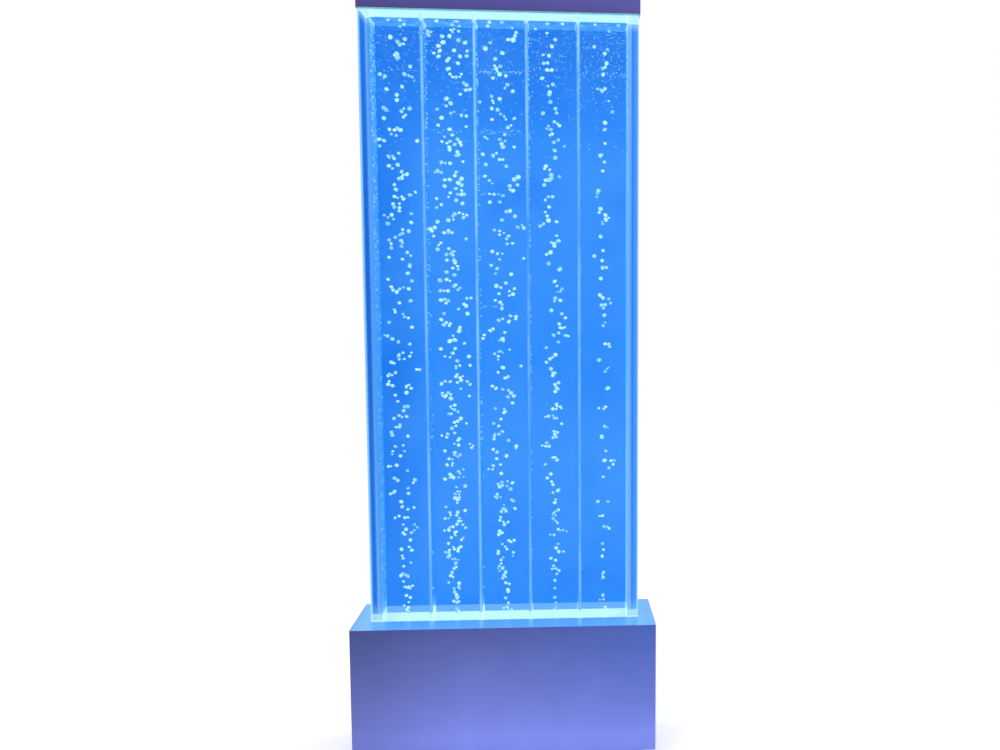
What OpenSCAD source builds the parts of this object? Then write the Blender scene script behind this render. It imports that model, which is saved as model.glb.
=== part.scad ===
// Bubble wall: a slim water tank with five bubble channels, lit from its floor and from its cap.
// Origin: centre of the footprint on the ground. +Z up, the front faces -Y.

/* [Overall] */
// Width of the clear panel
panel_w = 625; // [550:5:700]
// Height of the clear panel between the base and the cap
panel_h = 1390; // [600:10:1800]
// How far the base cabinet reaches past each side of the panel
side_ledge = 37.5; // [33:0.5:80]
// How far the base cabinet reaches past the front and the back of the panel
front_ledge = 70; // [62:1:120]
// Height of the base cabinet above the feet
base_h = 300; // [270:5:420]
// Gap under the base cabinet that the feet hold open
foot_h = 20; // [16:1:40]
// Height of the cap
cap_h = 120; // [100:5:200]

/* [Tank] */
// Thickness of the front and back plates
plate_t = 10; // [8:1:14]
// Depth of the water between the plates
water_gap = 66; // [58:1:80]
// Width of the clear bars at both sides
side_w = 25; // [20:1:30]
// Thickness of the channel dividers
divider_t = 8; // [5:1:10]
// Thickness of the floor plate and of the top frame
end_plate_t = 20; // [16:1:26]
// Bore for the light lead in the side bars
lead_bore_d = 8; // [6:0.5:12]
// Width of the filling slot in the top frame
slot_w = 40; // [30:1:44]
// Distance from the end of the top frame to the filling slot
slot_end = 35; // [32:1:60]
// Space above the dividers that lets the channels share one water level
divider_head = 6; // [4:1:20]
// Height of the passage under each divider
divider_foot = 8; // [5:1:20]
// Length of the passage under each divider
divider_foot_l = 24; // [10:1:40]

/* [Sheet metal] */
// Thickness of the painted sheet
sheet_t = 1.5; // [1:0.1:2]
// Outer radius of the vertical folds
bend_r = 2.5; // [2.2:0.1:6]
// Clearance around the tank in the base opening
opening_gap = 0.5; // [0.3:0.1:1.5]
// Clearance between the tank and the inside of the cap
cap_gap = 1.5; // [0.8:0.1:3]
// Width of the folded and welded flanges
flange_w = 14; // [12:0.5:16]
// How far the rear panel lies inside the rear edge
recess_d = 28; // [26:1:32]
// Clearance around the rear panel
panel_gap = 0.5; // [0.3:0.1:1]

/* [Service door] */
// Width of the door opening
door_w = 300; // [240:5:330]
// Height of the door opening
door_h = 180; // [150:5:200]
// Clearance around the door
door_gap = 1.5; // [1:0.1:3]
// Height of the middle of the door above the floor tray
door_z = 150; // [140:1:160]
// Width of the stop rim behind the door
rim_w = 12; // [10:1:16]
// Thickness of the hinge leaves
leaf_t = 1.5; // [1:0.1:2]
// Diameter of the hinge pins
hinge_pin_d = 2.4; // [2:0.1:3.6]
// Length of one hinge
hinge_l = 40; // [30:1:60]
// Diameter of the latch barrel
latch_d = 18; // [14:0.5:24]
// Diameter of the latch spindle
spindle_d = 8; // [6:0.5:9]

/* [Air system] */
// Diameter of the nozzle shank through the tank floor
nozzle_d = 12; // [9:0.5:14]
// Width across the flats of the nozzle nuts
nozzle_nut_af = 18; // [16:0.5:20]
// Outer diameter of the air tubes
air_tube_d = 6; // [5:0.5:7]
// Spacing of the taps on the gang valve
tap_pitch = 30; // [26:1:34]
// Diameter of the gang valve manifold
manifold_d = 18; // [16:0.5:20]
// Diameter of the tap stems
tap_stem_d = 8; // [6:0.5:9]
// Height of the gang valve shelf above the floor tray
valve_h = 158; // [140:1:170]
// Length of the air pump
pump_l = 150; // [120:1:170]
// Width of the air pump
pump_w = 84; // [70:1:94]
// Height of the air pump body
pump_h = 74; // [60:1:90]

/* [Lights] */
// How far the lower light reaches past the outer nozzles
light_over = 11.8; // [10:0.2:16]
// Space between the upper light and the plug at its end
plug_gap = 24; // [15:1:60]
// Width of the light channels
light_w = 40; // [36:1:42]
// Height of the light channels
light_h = 16; // [14:0.5:18]
// Wall of the light channels
light_t = 2; // [1.5:0.1:2.5]
// Spacing of the light diodes
led_pitch = 24.5; // [20:0.5:40]
// Length of the LED driver
driver_l = 150; // [120:1:160]

/* [Feet and drain] */
// Diameter of the foot pads
foot_d = 40; // [30:1:44]
// Diameter of the foot studs
stud_d = 10; // [8:0.5:12]
// Distance from the side of the base to the feet
foot_inset = 50; // [40:1:56]
// Diameter of the drain shank through the tank floor
drain_d = 16; // [12:0.5:18]
// Diameter of the drain hose
hose_d = 14; // [12:0.5:16]
// Diameter of the drain outlet, where a hose is pushed on
outlet_d = 12; // [10:0.5:14]
// Length of the drain outlet
outlet_l = 14; // [10:0.5:15]
// Bore of the mains cable gland
gland_bore_d = 7.2; // [5:0.2:9]

/* [Hidden] */
$fn = 48;
channels = 5;       // one nozzle and one tap each, with a divider between two of them
past = 1;           // how far a cut reaches past the piece that it cuts
fit_gap = 0.05;     // radial clearance of a running fit
seat_gap = 0.3;     // running gap between moving faces
hole_gap = 0.2;     // clearance of a fitting in its sheet hole
bond_gap = 0.1;     // film of cement between two acrylic pieces

// Main sizes and places
channel_w = (panel_w - 2 * side_w - (channels - 1) * divider_t) / channels;
channel_pitch = channel_w + divider_t;
tank_d = 2 * plate_t + water_gap;
base_w = panel_w + 2 * side_ledge;
base_d = tank_d + 2 * front_ledge;
base_top_z = foot_h + base_h;
tray_z = foot_h + sheet_t;
tank_low_z = base_top_z - end_plate_t;
tank_high_z = base_top_z + panel_h;
frame_top_z = tank_high_z + end_plate_t;
cap_top_z = tank_high_z + cap_h;
front_y = -base_d / 2;
rear_y = base_d / 2;
panel_y = rear_y - recess_d - sheet_t;
panel_out_y = panel_y + sheet_t;
bar_x = panel_w / 2 - side_w / 2;
panel_span = [base_top_z + bond_gap, tank_high_z - bond_gap];
inner_y = water_gap / 2 - bond_gap;

// Folded sheet and its screws
inner_r = bend_r - sheet_t;
corner_relief = 2;  // half of the gap between two flanges at a corner
flange_gap = 1;
screw_d = 4;
screw_head_d = 8;
screw_head_h = 2.4;
side_screw_z = [tray_z + base_h * 0.25, tray_z + base_h * 0.72];
row_screw_x = [-0.36 * base_w, 0, 0.36 * base_w];
side_screw_x = base_w / 2 - sheet_t - flange_w / 2;
low_screw_z = tray_z + flange_w / 2 + flange_gap;
high_screw_z = base_top_z - sheet_t - flange_w / 2 - flange_gap;
panel_screws = concat(
    [for (s = [-1, 1], z = side_screw_z) [s * side_screw_x, z]],
    [for (x = row_screw_x, z = [low_screw_z, high_screw_z]) [x, z]]
);

// Cradle that carries the tank
rail_t = 3;
rail_flange = 22;
rail_drop = 30;
rail_low_z = tank_low_z - rail_drop;
rail_inner_y = tank_d / 2 - rail_t;
leg_w = 20;
leg_t = 2;
leg_plate = 38;
leg_inset = 1;
leg_x = panel_w / 2 - leg_w / 2 - leg_inset;
leg_y = rail_inner_y - leg_w / 2;
cross_w = 20;
cross_x = 1.5 * channel_pitch;

// Lower and upper lights
light_z = rail_low_z + rail_t;
light_l = (channels - 1) * channel_pitch + 2 * light_over;
pcb_t = 1.6;
pcb_w = 8;
pcb_gap = 1;
pcb_y = light_w / 2 - light_t - pcb_w / 2 - pcb_gap;
strip_end = 2;
led_size = 5;
led_t = 1.6;
tube_hole_d = 2 * pcb_y - pcb_w - pcb_gap;
plug_d = 22;
plug_h = 18;
upper_light_l = 2 * (bar_x - plug_d / 2 - plug_gap);
upper_gap = 8;
upper_z = frame_top_z + upper_gap;
diffuser_t = 3;
hanger_w = 24;
hanger_x = upper_light_l / 3;

// Lead in the side bar, with its socket and plug
lead_d = 5;
wire_d = 4;
side_lead_z = tank_low_z - rail_t - 10;
socket_d = 12;
socket_h = 10;
pin_d = 2;
pin_y = 2.6;
pin_l = 6;

// Air nozzles, check valves and gang valve
barb_d = 5;
nozzle_head_d = 18;
nozzle_head_h = 3;
nozzle_nut_h = 8;
nozzle_tail = 42;
check_d = 13;
check_h = 24;
check_z = tank_low_z - nozzle_tail;
valve_z = tray_z + valve_h;
valve_y = tank_d / 2 + manifold_d / 2;
manifold_z = valve_z + manifold_d / 2;
manifold_end = 17;
manifold_l = (channels - 1) * tap_pitch + 2 * manifold_end;
manifold_tail = 12;
manifold_end_x = manifold_l / 2 + manifold_tail;
outlet_stub_d = 9;
outlet_stub_h = 9;
outlet_barb_h = 7;
air_start_z = manifold_z + manifold_d / 2 + outlet_stub_h + outlet_barb_h;
boss_d = 14;
boss_h = 6;
boss_y = valve_y + manifold_d / 2 + boss_h;
tap_lever_l = 18;
tap_lever_t = 4;
tap_lever_w = 6;
tap_hub_h = 5;
bracket_t = 2;
bracket_inset = 4;
bracket_over = 2;
bracket_w = manifold_l - 2 * bracket_inset;
bracket_d = manifold_d + 2 * bracket_over;

// Pump, driver and terminal block on the floor tray
pump_side = 140;     // from the right side to the pump
pump_x = base_w / 2 - pump_side - pump_l;
pump_y = -12;
mount_d = 16;
mount_h = 12;
pump_z = tray_z + mount_h;
pump_spout_h = 12;
pump_spout_inset = 28;
pump_out_x = pump_x + pump_l - pump_spout_inset;
pump_out_z = pump_z + pump_h + pump_spout_h;
driver_side = 100;   // from the left side to the driver
driver_x = driver_side - base_w / 2;
driver_y = -16;
driver_w = 56;
driver_h = 38;
driver_tab = 12;
block_l = 56;
block_w = 22;
block_h = 18;
block_x = driver_x + driver_l + 20;
block_y = -30;

// Mains gland and switch
control_side = 80;   // from the left side to the switch and the gland
control_x = control_side - base_w / 2;
gland_up = 40;
gland_z = tray_z + gland_up;
switch_up = 92;
switch_z = tray_z + switch_up;
gland_thread_d = 16;
gland_hex_af = 21;
switch_w = 15;
switch_h = 24;
switch_depth = 22;
rocker_tilt = 7;
rocker_pin_d = 3;
rocker_y = panel_out_y - 1;

// Drain
drain_over = 29;     // from the last nozzle to the drain
drain_x = channel_pitch * (channels - 1) / 2 + drain_over;
drain_tail = 24;
drain_out_z = tank_low_z - drain_tail;
drain_valve_shift = 22;
drain_valve_x = drain_x - drain_valve_shift;
drain_valve_out = 6;
drain_valve_y = panel_out_y + drain_valve_out;
drain_valve_up = 42;
drain_valve_z = tray_z + drain_valve_up;
valve_tail = 22;    // from the rear panel to the end of the hose
valve_thread_d = 18;
valve_block = 22;
stem_d = 6;
stem_wall = 3;
drain_lever_l = 34;
hose_wall = 2;

// Door, hinges and latch
door_mid_z = tray_z + door_z;
hinge_x = door_gap / 2 - door_w / 2;
knuckle_wall = 1.8;
knuckle_d = hinge_pin_d + 2 * knuckle_wall;
knuckle_l = hinge_l / 3;
hinge_y = panel_out_y + knuckle_d / 2;
hinge_end = 35;
hinge_places = [hinge_end - door_h / 2, door_h / 2 - hinge_end];
rim_over = rim_w / 2;
latch_side = 28;
latch_x = door_w / 2 - latch_side;
latch_nut_t = 1.2;
latch_rose_h = 2;
cam_w = 14;
cam_reach = door_w / 2 - latch_x + rim_over;

// Feet
foot_travel = 20;
foot_nut_wall = 3.5;
foot_nut_af = stud_d + 2 * foot_nut_wall;
foot_nut_h = 9;
foot_collar_h = 6;
foot_x = base_w / 2 - foot_inset;
foot_gap = 3.5;      // from the weld nut to the rear panel
foot_y = panel_y - sheet_t - foot_nut_af / 2 - foot_gap;

// Cap
cap_w = panel_w + 2 * (cap_gap + sheet_t);
cap_d = tank_d + 2 * (cap_gap + sheet_t);
ledge_over = 5;
ledge_w = side_w + ledge_over;
ledge_h = 14;

paint = "mediumslateblue";
clear = "lightcyan";

function channel_x(i) = (i - (channels - 1) / 2) * channel_pitch;
function divider_x(i) = (i - channels / 2 + 1) * channel_pitch;
function tap_x(i) = (i - (channels - 1) / 2) * tap_pitch;
function blend(a, b, t) = a * (1 - t) + b * t;
function curve(p, t) = blend(
    blend(blend(p[0], p[1], t), blend(p[1], p[2], t), t),
    blend(blend(p[1], p[2], t), blend(p[2], p[3], t), t), t);
function slope(p, t) = blend(
    blend(p[1] - p[0], p[2] - p[1], t), blend(p[2] - p[1], p[3] - p[2], t), t);
function unit(v) = v / norm(v);
function side_axis(v, lean) = unit(cross(v, lean));

// A block given by its lowest and highest place along each axis
module block(x, y, z) {
    translate([x[0], y[0], z[0]])
        cube([x[1] - x[0], y[1] - y[0], z[1] - z[0]]);
}

// A block centred on x
module wide_block(w, y, z) {
    block([-w / 2, w / 2], y, z);
}

module rounded_rect(w, d, r) {
    square([w - 2 * r, d], center = true);
    square([w, d - 2 * r], center = true);
    for (sx = [-1, 1], sy = [-1, 1])
        translate([sx * (w / 2 - r), sy * (d / 2 - r)])
            circle(r);
}

// A rounded slot lying along x, drawn flat
module slot_shape(l, w) {
    square([l - w, w], center = true);
    for (s = [-1, 1])
        translate([s * (l - w) / 2, 0])
            circle(w / 2);
}

module hex(af, h) {
    cylinder(d = af / cos(30), h = h, $fn = 6);
}

// Turns a shape drawn upwards so that it points to the rear
module to_rear() {
    rotate([-90, 0, 0])
        children();
}

// A flexible tube or lead along one smooth curve through four guide points
module flex(points, d, lean, rings = 16, sides = 8) {
    centres = [for (i = [0 : rings - 1]) curve(points, i / (rings - 1))];
    ahead = [for (i = [0 : rings - 1]) unit(slope(points, i / (rings - 1)))];
    ring_points = [
        for (i = [0 : rings - 1], j = [0 : sides - 1])
            let (u = side_axis(ahead[i], lean), v = cross(ahead[i], u), a = 360 * j / sides)
            centres[i] + d / 2 * (u * cos(a) + v * sin(a))
    ];
    walls = [
        for (i = [0 : rings - 2], j = [0 : sides - 1])
            let (k = (j + 1) % sides)
            [i * sides + j, (i + 1) * sides + j, (i + 1) * sides + k, i * sides + k]
    ];
    first_end = [for (j = [0 : sides - 1]) j];
    last_end = [for (j = [sides - 1 : -1 : 0]) (rings - 1) * sides + j];
    polyhedron(ring_points, concat([first_end, last_end], walls), convexity = 4);
}

// Base cabinet

module base_wrap() {
    color(paint) {
        translate([0, 0, foot_h])
            linear_extrude(base_h)
                difference() {
                    rounded_rect(base_w, base_d, bend_r);
                    rounded_rect(base_w - 2 * sheet_t, base_d - 2 * sheet_t, inner_r);
                    translate([0, rear_y])
                        square([base_w - 2 * sheet_t, 4 * bend_r], center = true);
                    for (s = [-1, 1])
                        translate([s * base_w / 2, rear_y])
                            square([2 * sheet_t, 2 * bend_r], center = true);
                }
        for (s = [-1, 1])
            translate([s * (base_w - sheet_t) / 2, 0, 0])
                block([-sheet_t / 2, sheet_t / 2], [rear_y - bend_r, rear_y],
                      [foot_h, base_top_z]);
        panel_side_flanges();
    }
}

// Welded strips inside the sides, to which the rear panel is screwed
module panel_side_flanges() {
    end_gap = flange_w + flange_gap;
    for (s = [-1, 1])
        translate([s * (base_w / 2 - sheet_t - flange_w / 2), 0, 0])
            difference() {
                block([-flange_w / 2, flange_w / 2], [panel_y - sheet_t, panel_y],
                      [tray_z + end_gap, base_top_z - sheet_t - end_gap]);
                for (z = side_screw_z)
                    translate([0, panel_y - 2 * sheet_t, z])
                        to_rear() cylinder(d = screw_d + 2 * fit_gap, h = 3 * sheet_t);
            }
}

module base_top() {
    top_w = base_w - 2 * sheet_t;
    top_d = base_d - sheet_t;
    color(paint) {
        difference() {
            translate([0, sheet_t / 2, base_top_z - flange_w])
                linear_extrude(flange_w)
                    top_outline(top_w, top_d, inner_r);
            translate([0, sheet_t / 2, base_top_z - flange_w - past])
                linear_extrude(flange_w - sheet_t + past)
                    square([top_w - 2 * sheet_t, top_d - 2 * sheet_t], center = true);
            tank_opening();
        }
        difference() {
            wide_block(top_w - 2 * sheet_t - 2 * corner_relief, [panel_y - sheet_t, panel_y],
                       [base_top_z - sheet_t - flange_w, base_top_z - sheet_t]);
            panel_screw_holes();
        }
    }
}

// Rounded at the two front corners, square at the back
module top_outline(w, d, r) {
    rounded_rect(w, d, r);
    translate([0, r])
        square([w, d - 2 * r], center = true);
    translate([0, d / 2 - r])
        square([w, 2 * r], center = true);
}

module tank_opening() {
    translate([0, 0, base_top_z - sheet_t / 2])
        cube([panel_w + 2 * opening_gap, tank_d + 2 * opening_gap, 2 * sheet_t], center = true);
}

module panel_screw_holes() {
    for (p = panel_screws)
        translate([p[0], panel_y - 2 * sheet_t, p[1]])
            to_rear() cylinder(d = screw_d + 2 * fit_gap, h = 4 * sheet_t);
}

module base_floor() {
    floor_w = base_w - 2 * sheet_t;
    floor_d = base_d - sheet_t;
    stud_room = 1.2;
    color(paint) {
        difference() {
            union() {
                translate([0, sheet_t / 2, foot_h])
                    linear_extrude(sheet_t)
                        top_outline(floor_w, floor_d, inner_r);
                wide_block(floor_w - 2 * inner_r, [front_y + sheet_t, front_y + 2 * sheet_t],
                           [foot_h, tray_z + flange_w]);
                for (s = [-1, 1])
                    translate([s * (floor_w - sheet_t) / 2, 0, 0])
                        wide_block(sheet_t, [front_y + bend_r, panel_y - sheet_t],
                                   [foot_h, tray_z + flange_w]);
                wide_block(floor_w - 2 * sheet_t - 2 * corner_relief, [panel_y - sheet_t, panel_y],
                           [foot_h, tray_z + flange_w]);
            }
            panel_screw_holes();
            each_foot()
                translate([0, 0, foot_h - past])
                    cylinder(d = stud_d + stud_room, h = sheet_t + 2 * past);
            floor_vents();
        }
    }
}

module each_foot() {
    for (sx = [-1, 1], sy = [-1, 1])
        translate([sx * foot_x, sy * foot_y, 0])
            children();
}

// Cooling slots in the tray under the pump
module floor_vents() {
    vent_count = 6;
    vent_pitch = 18;
    vent_l = 44;
    vent_w = 5;
    for (i = [0 : vent_count - 1])
        translate([pump_x + pump_l / 2 + (i - (vent_count - 1) / 2) * vent_pitch, pump_y,
                   foot_h - past])
            linear_extrude(sheet_t + 2 * past)
                rotate(90) slot_shape(vent_l, vent_w);
}

module rear_panel() {
    low = tray_z + panel_gap;
    high = base_top_z - sheet_t - panel_gap;
    panel_out_w = base_w - 4 * sheet_t - 2 * panel_gap;
    switch_room = 0.3;
    between = (door_w / 2 + rim_over + base_w / 2 - flange_w) / 2;
    color(paint) {
        difference() {
            wide_block(panel_out_w, [panel_y, panel_out_y], [low, high]);
            door_cut(0);
            panel_screw_holes();
            rear_cut(control_x, gland_z, gland_thread_d / 2 + hole_gap);
            rear_cut(drain_valve_x, drain_valve_z, valve_thread_d / 2 + hole_gap);
            translate([control_x, panel_y, switch_z])
                cube([switch_w + 2 * switch_room, 4 * sheet_t, switch_h + 2 * switch_room],
                     center = true);
            for (s = [-1, 1])
                louvres(s * between);
        }
        difference() {
            door_ring(rim_over, panel_y - sheet_t, sheet_t);
            door_cut(-rim_over);
        }
    }
}

module door_cut(grow) {
    translate([0, panel_y, door_mid_z])
        cube([door_w + 2 * grow, 6 * sheet_t, door_h + 2 * grow], center = true);
}

module door_ring(grow, y, t) {
    translate([0, y + t / 2, door_mid_z])
        cube([door_w + 2 * grow, t, door_h + 2 * grow], center = true);
}

module rear_cut(x, z, r) {
    translate([x, panel_y - sheet_t, z])
        to_rear() cylinder(r = r, h = 4 * sheet_t);
}

// Vent slots high on the rear panel
module louvres(x) {
    louvre_l = 80;
    louvre_w = 5;
    louvre_pitch = 12;
    louvre_count = 6;
    rise = 20;
    lowest = door_mid_z + rise;
    for (i = [0 : louvre_count - 1])
        translate([x, panel_y - sheet_t, lowest + i * louvre_pitch])
            to_rear()
                linear_extrude(4 * sheet_t)
                    slot_shape(louvre_l, louvre_w);
}

module rear_panel_screws() {
    cross_l = 5;
    cross_t = 1.2;
    cross_deep = 1;
    behind = 3 * sheet_t + 4;
    color("silver")
        for (p = panel_screws)
            translate([p[0], panel_out_y, p[1]])
                to_rear() {
                    difference() {
                        cylinder(d = screw_head_d, h = screw_head_h);
                        for (size = [[cross_t, cross_l], [cross_l, cross_t]])
                            translate([0, 0, screw_head_h])
                                cube([size[0], size[1], 2 * cross_deep], center = true);
                    }
                    translate([0, 0, -behind])
                        cylinder(d = screw_d, h = behind);
                }
}

module foot_nuts() {
    color("silver")
        each_foot()
            translate([0, 0, tray_z])
                difference() {
                    hex(foot_nut_af, foot_nut_h);
                    translate([0, 0, -past])
                        cylinder(d = stud_d + 2 * fit_gap, h = foot_nut_h + 2 * past);
                }
}

// Cradle and tank

module tank_cradle() {
    color("dimgray") {
        difference() {
            union() {
                for (s = [-1, 1])
                    cradle_rail(s);
                for (s = [-1, 1])
                    cradle_end(s);
                for (s = [-1, 1])
                    translate([s * cross_x, 0, 0])
                        block([-cross_w / 2, cross_w / 2], [-rail_inner_y, rail_inner_y],
                              [rail_low_z, rail_low_z + rail_t]);
                for (sx = [-1, 1], sy = [-1, 1])
                    translate([sx * leg_x, sy * leg_y, 0])
                        cradle_leg();
            }
            for (s = [-1, 1])
                translate([s * bar_x, 0, tank_low_z - rail_t - past])
                    cylinder(d = lead_bore_d, h = rail_t + 2 * past);
        }
    }
}

module cradle_rail(s) {
    mirror([0, s > 0 ? 0 : 1, 0]) {
        wide_block(panel_w, [tank_d / 2 - rail_flange, tank_d / 2],
                   [tank_low_z - rail_t, tank_low_z]);
        wide_block(panel_w, [rail_inner_y, tank_d / 2], [rail_low_z, tank_low_z]);
    }
}

module cradle_end(s) {
    mirror([s > 0 ? 0 : 1, 0, 0]) {
        block([panel_w / 2 - rail_flange, panel_w / 2], [-rail_inner_y, rail_inner_y],
              [tank_low_z - rail_t, tank_low_z]);
    }
}

module cradle_leg() {
    low = tray_z + rail_t;
    high = tank_low_z - rail_t;
    difference() {
        translate([0, 0, (low + high) / 2])
            cube([leg_w, leg_w, high - low], center = true);
        translate([0, 0, (low + high) / 2])
            cube([leg_w - 2 * leg_t, leg_w - 2 * leg_t, high - low + 2 * past], center = true);
    }
    translate([0, 0, tray_z + rail_t / 2])
        cube([leg_plate, leg_plate, rail_t], center = true);
}

module tank_floor() {
    color(clear)
        difference() {
            wide_block(panel_w, [-tank_d / 2, tank_d / 2], [tank_low_z, base_top_z]);
            each_channel()
                translate([0, 0, tank_low_z - past])
                    cylinder(d = nozzle_d + 2 * fit_gap, h = end_plate_t + 2 * past);
            translate([drain_x, 0, tank_low_z - past])
                cylinder(d = drain_d + 2 * fit_gap, h = end_plate_t + 2 * past);
            lead_bores(tank_low_z, end_plate_t);
        }
}

module each_channel() {
    for (i = [0 : channels - 1])
        translate([channel_x(i), 0, 0])
            children();
}

module lead_bores(z, h) {
    for (s = [-1, 1])
        translate([s * bar_x, 0, z - past])
            cylinder(d = lead_bore_d, h = h + 2 * past);
}

module front_plate() {
    color(clear)
        wide_block(panel_w, [-tank_d / 2, -water_gap / 2], panel_span);
}

module back_plate() {
    color("dodgerblue")
        wide_block(panel_w, [water_gap / 2, tank_d / 2], panel_span);
}

module side_bar(s) {
    color(clear)
        difference() {
            translate([s * bar_x, 0, 0])
                wide_block(side_w, [-inner_y, inner_y], panel_span);
            lead_bores(base_top_z, panel_h);
        }
}

module left_side_bar() side_bar(-1);
module right_side_bar() side_bar(1);

module divider(i) {
    color(clear)
        translate([divider_x(i), 0, 0])
            difference() {
                wide_block(divider_t, [-inner_y, inner_y],
                           [base_top_z + bond_gap, tank_high_z - divider_head]);
                wide_block(divider_t + 2 * past, [-divider_foot_l / 2, divider_foot_l / 2],
                           [base_top_z - past, base_top_z + divider_foot]);
            }
}

module divider_1() divider(0);
module divider_2() divider(1);
module divider_3() divider(2);
module divider_4() divider(3);

module top_frame() {
    color(clear)
        difference() {
            wide_block(panel_w, [-tank_d / 2, tank_d / 2], [tank_high_z, frame_top_z]);
            wide_block(panel_w - 2 * slot_end, [-slot_w / 2, slot_w / 2],
                       [tank_high_z - past, frame_top_z + past]);
            lead_bores(tank_high_z, end_plate_t);
        }
}

// Lower light

module lower_light_channel() {
    color("silver")
        difference() {
            wide_block(light_l, [-light_w / 2, light_w / 2], [light_z, light_z + light_h]);
            wide_block(light_l + 2 * past, [light_t - light_w / 2, light_w / 2 - light_t],
                       [light_z + light_t, light_z + light_h + past]);
            each_channel()
                translate([0, 0, light_z - past])
                    cylinder(d = tube_hole_d, h = light_t + 2 * past);
        }
}

// A circuit board with its row of diodes, drawn upwards from z = 0
module led_board(l) {
    wide_block(l, [-pcb_w / 2, pcb_w / 2], [0, pcb_t]);
    count = floor((l - led_size) / led_pitch);
    for (i = [0 : count])
        translate([(i - count / 2) * led_pitch, 0, pcb_t + led_t / 2])
            cube([led_size, led_size, led_t], center = true);
}

module lower_led_strips() {
    color("white")
        for (s = [-1, 1])
            translate([0, s * pcb_y, light_z + light_t])
                led_board(light_l - 2 * strip_end);
}

// Air system

module air_nozzles() {
    thread_end = nozzle_nut_h + 3;
    head_slope = 2;
    jet_d = 2;
    color("whitesmoke")
        each_channel()
            difference() {
                union() {
                    translate([0, 0, tank_low_z - thread_end])
                        cylinder(d = nozzle_d, h = end_plate_t + thread_end);
                    translate([0, 0, check_z])
                        cylinder(d = barb_d, h = nozzle_tail - nozzle_nut_h);
                    translate([0, 0, base_top_z])
                        cylinder(d1 = nozzle_head_d, d2 = nozzle_head_d - 2 * head_slope,
                                 h = nozzle_head_h);
                }
                translate([0, 0, base_top_z - end_plate_t / 2])
                    cylinder(d = jet_d, h = end_plate_t);
            }
}

module nozzle_nuts() {
    color("gainsboro")
        each_channel()
            translate([0, 0, tank_low_z - nozzle_nut_h])
                difference() {
                    hex(nozzle_nut_af, nozzle_nut_h);
                    translate([0, 0, -past])
                        cylinder(d = nozzle_d + 2 * fit_gap, h = nozzle_nut_h + 2 * past);
                }
}

module check_valves() {
    neck_h = 4;
    low_cone_h = 4;
    high_cone_h = 3;
    neck_r = air_tube_d / 2;
    body_r = check_d / 2;
    color("white")
        each_channel()
            translate([0, 0, check_z - check_h])
                rotate_extrude()
                    polygon([
                        [0, 0], [neck_r, 0], [neck_r, neck_h], [body_r, neck_h + low_cone_h],
                        [body_r, check_h - neck_h - high_cone_h], [neck_r, check_h - neck_h],
                        [neck_r, check_h], [0, check_h]
                    ]);
}

module air_tubes() {
    rise = 26;
    pump_rise = 50;
    end_reach = 60;
    check_low_z = check_z - check_h;
    color("lightsteelblue") {
        for (i = [0 : channels - 1])
            flex([
                [tap_x(i), valve_y, air_start_z],
                [tap_x(i), valve_y, air_start_z + rise],
                [channel_x(i), 0, check_low_z - 2 * rise],
                [channel_x(i), 0, check_low_z]
            ], air_tube_d, [0.25, 1, 0.1]);
        flex([
            [pump_out_x, pump_y, pump_out_z],
            [pump_out_x, pump_y, pump_out_z + pump_rise],
            [manifold_end_x + end_reach, valve_y, manifold_z],
            [manifold_end_x, valve_y, manifold_z]
        ], air_tube_d, [0.2, 1, 0.1]);
    }
}

module gang_valve() {
    ear_inset = 8;
    ear_w = 10;
    ear_h = 4;
    color("white")
        difference() {
            union() {
                translate([-manifold_l / 2, valve_y, manifold_z])
                    rotate([0, 90, 0]) cylinder(d = manifold_d, h = manifold_l);
                translate([manifold_l / 2, valve_y, manifold_z])
                    rotate([0, 90, 0]) cylinder(d = barb_d, h = manifold_tail);
                for (s = [-1, 1])
                    translate([s * (manifold_l / 2 - ear_inset), valve_y, valve_z + ear_h / 2])
                        cube([ear_w, manifold_d * 0.8, ear_h], center = true);
                for (i = [0 : channels - 1])
                    translate([tap_x(i), valve_y, manifold_z]) {
                        cylinder(d = outlet_stub_d, h = manifold_d / 2 + outlet_stub_h);
                        cylinder(d = barb_d, h = air_start_z - manifold_z);
                        to_rear() cylinder(d = boss_d, h = boss_y - valve_y);
                    }
            }
            for (i = [0 : channels - 1])
                translate([tap_x(i), valve_y, manifold_z])
                    to_rear() cylinder(d = tap_stem_d + 2 * fit_gap, h = boss_y - valve_y + past);
        }
}

module valve_bracket() {
    window_side = 25;
    window_r = 8;
    near = valve_y - bracket_d / 2;
    far = valve_y + bracket_d / 2;
    color("silver") {
        wide_block(bracket_w, [near, far], [valve_z - bracket_t, valve_z]);
        wide_block(bracket_w, [near, far], [tray_z, tray_z + bracket_t]);
        difference() {
            wide_block(bracket_w, [near, near + bracket_t], [tray_z, valve_z]);
            translate([0, near - past, (tray_z + valve_z) / 2])
                to_rear()
                    linear_extrude(bracket_t + 2 * past)
                        rounded_rect(bracket_w - 2 * window_side, valve_h - 2 * window_side,
                                     window_r);
        }
    }
}

// The tap points up when it is open
module tap(i) {
    stem_in = 1;
    lever_y = boss_y + seat_gap + tap_hub_h - tap_lever_t;
    color("royalblue")
        translate([tap_x(i), 0, manifold_z])
            to_rear() {
                translate([0, 0, valve_y + stem_in])
                    cylinder(d = tap_stem_d, h = boss_y - valve_y);
                translate([0, 0, boss_y + seat_gap])
                    cylinder(d = boss_d - 2, h = tap_hub_h);
                translate([0, -tap_lever_l / 2, lever_y])
                    linear_extrude(tap_lever_t)
                        rotate(90) slot_shape(tap_lever_l + tap_lever_w, tap_lever_w);
            }
}

module tap_1() tap(0);
module tap_2() tap(1);
module tap_3() tap(2);
module tap_4() tap(3);
module tap_5() tap(4);

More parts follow.
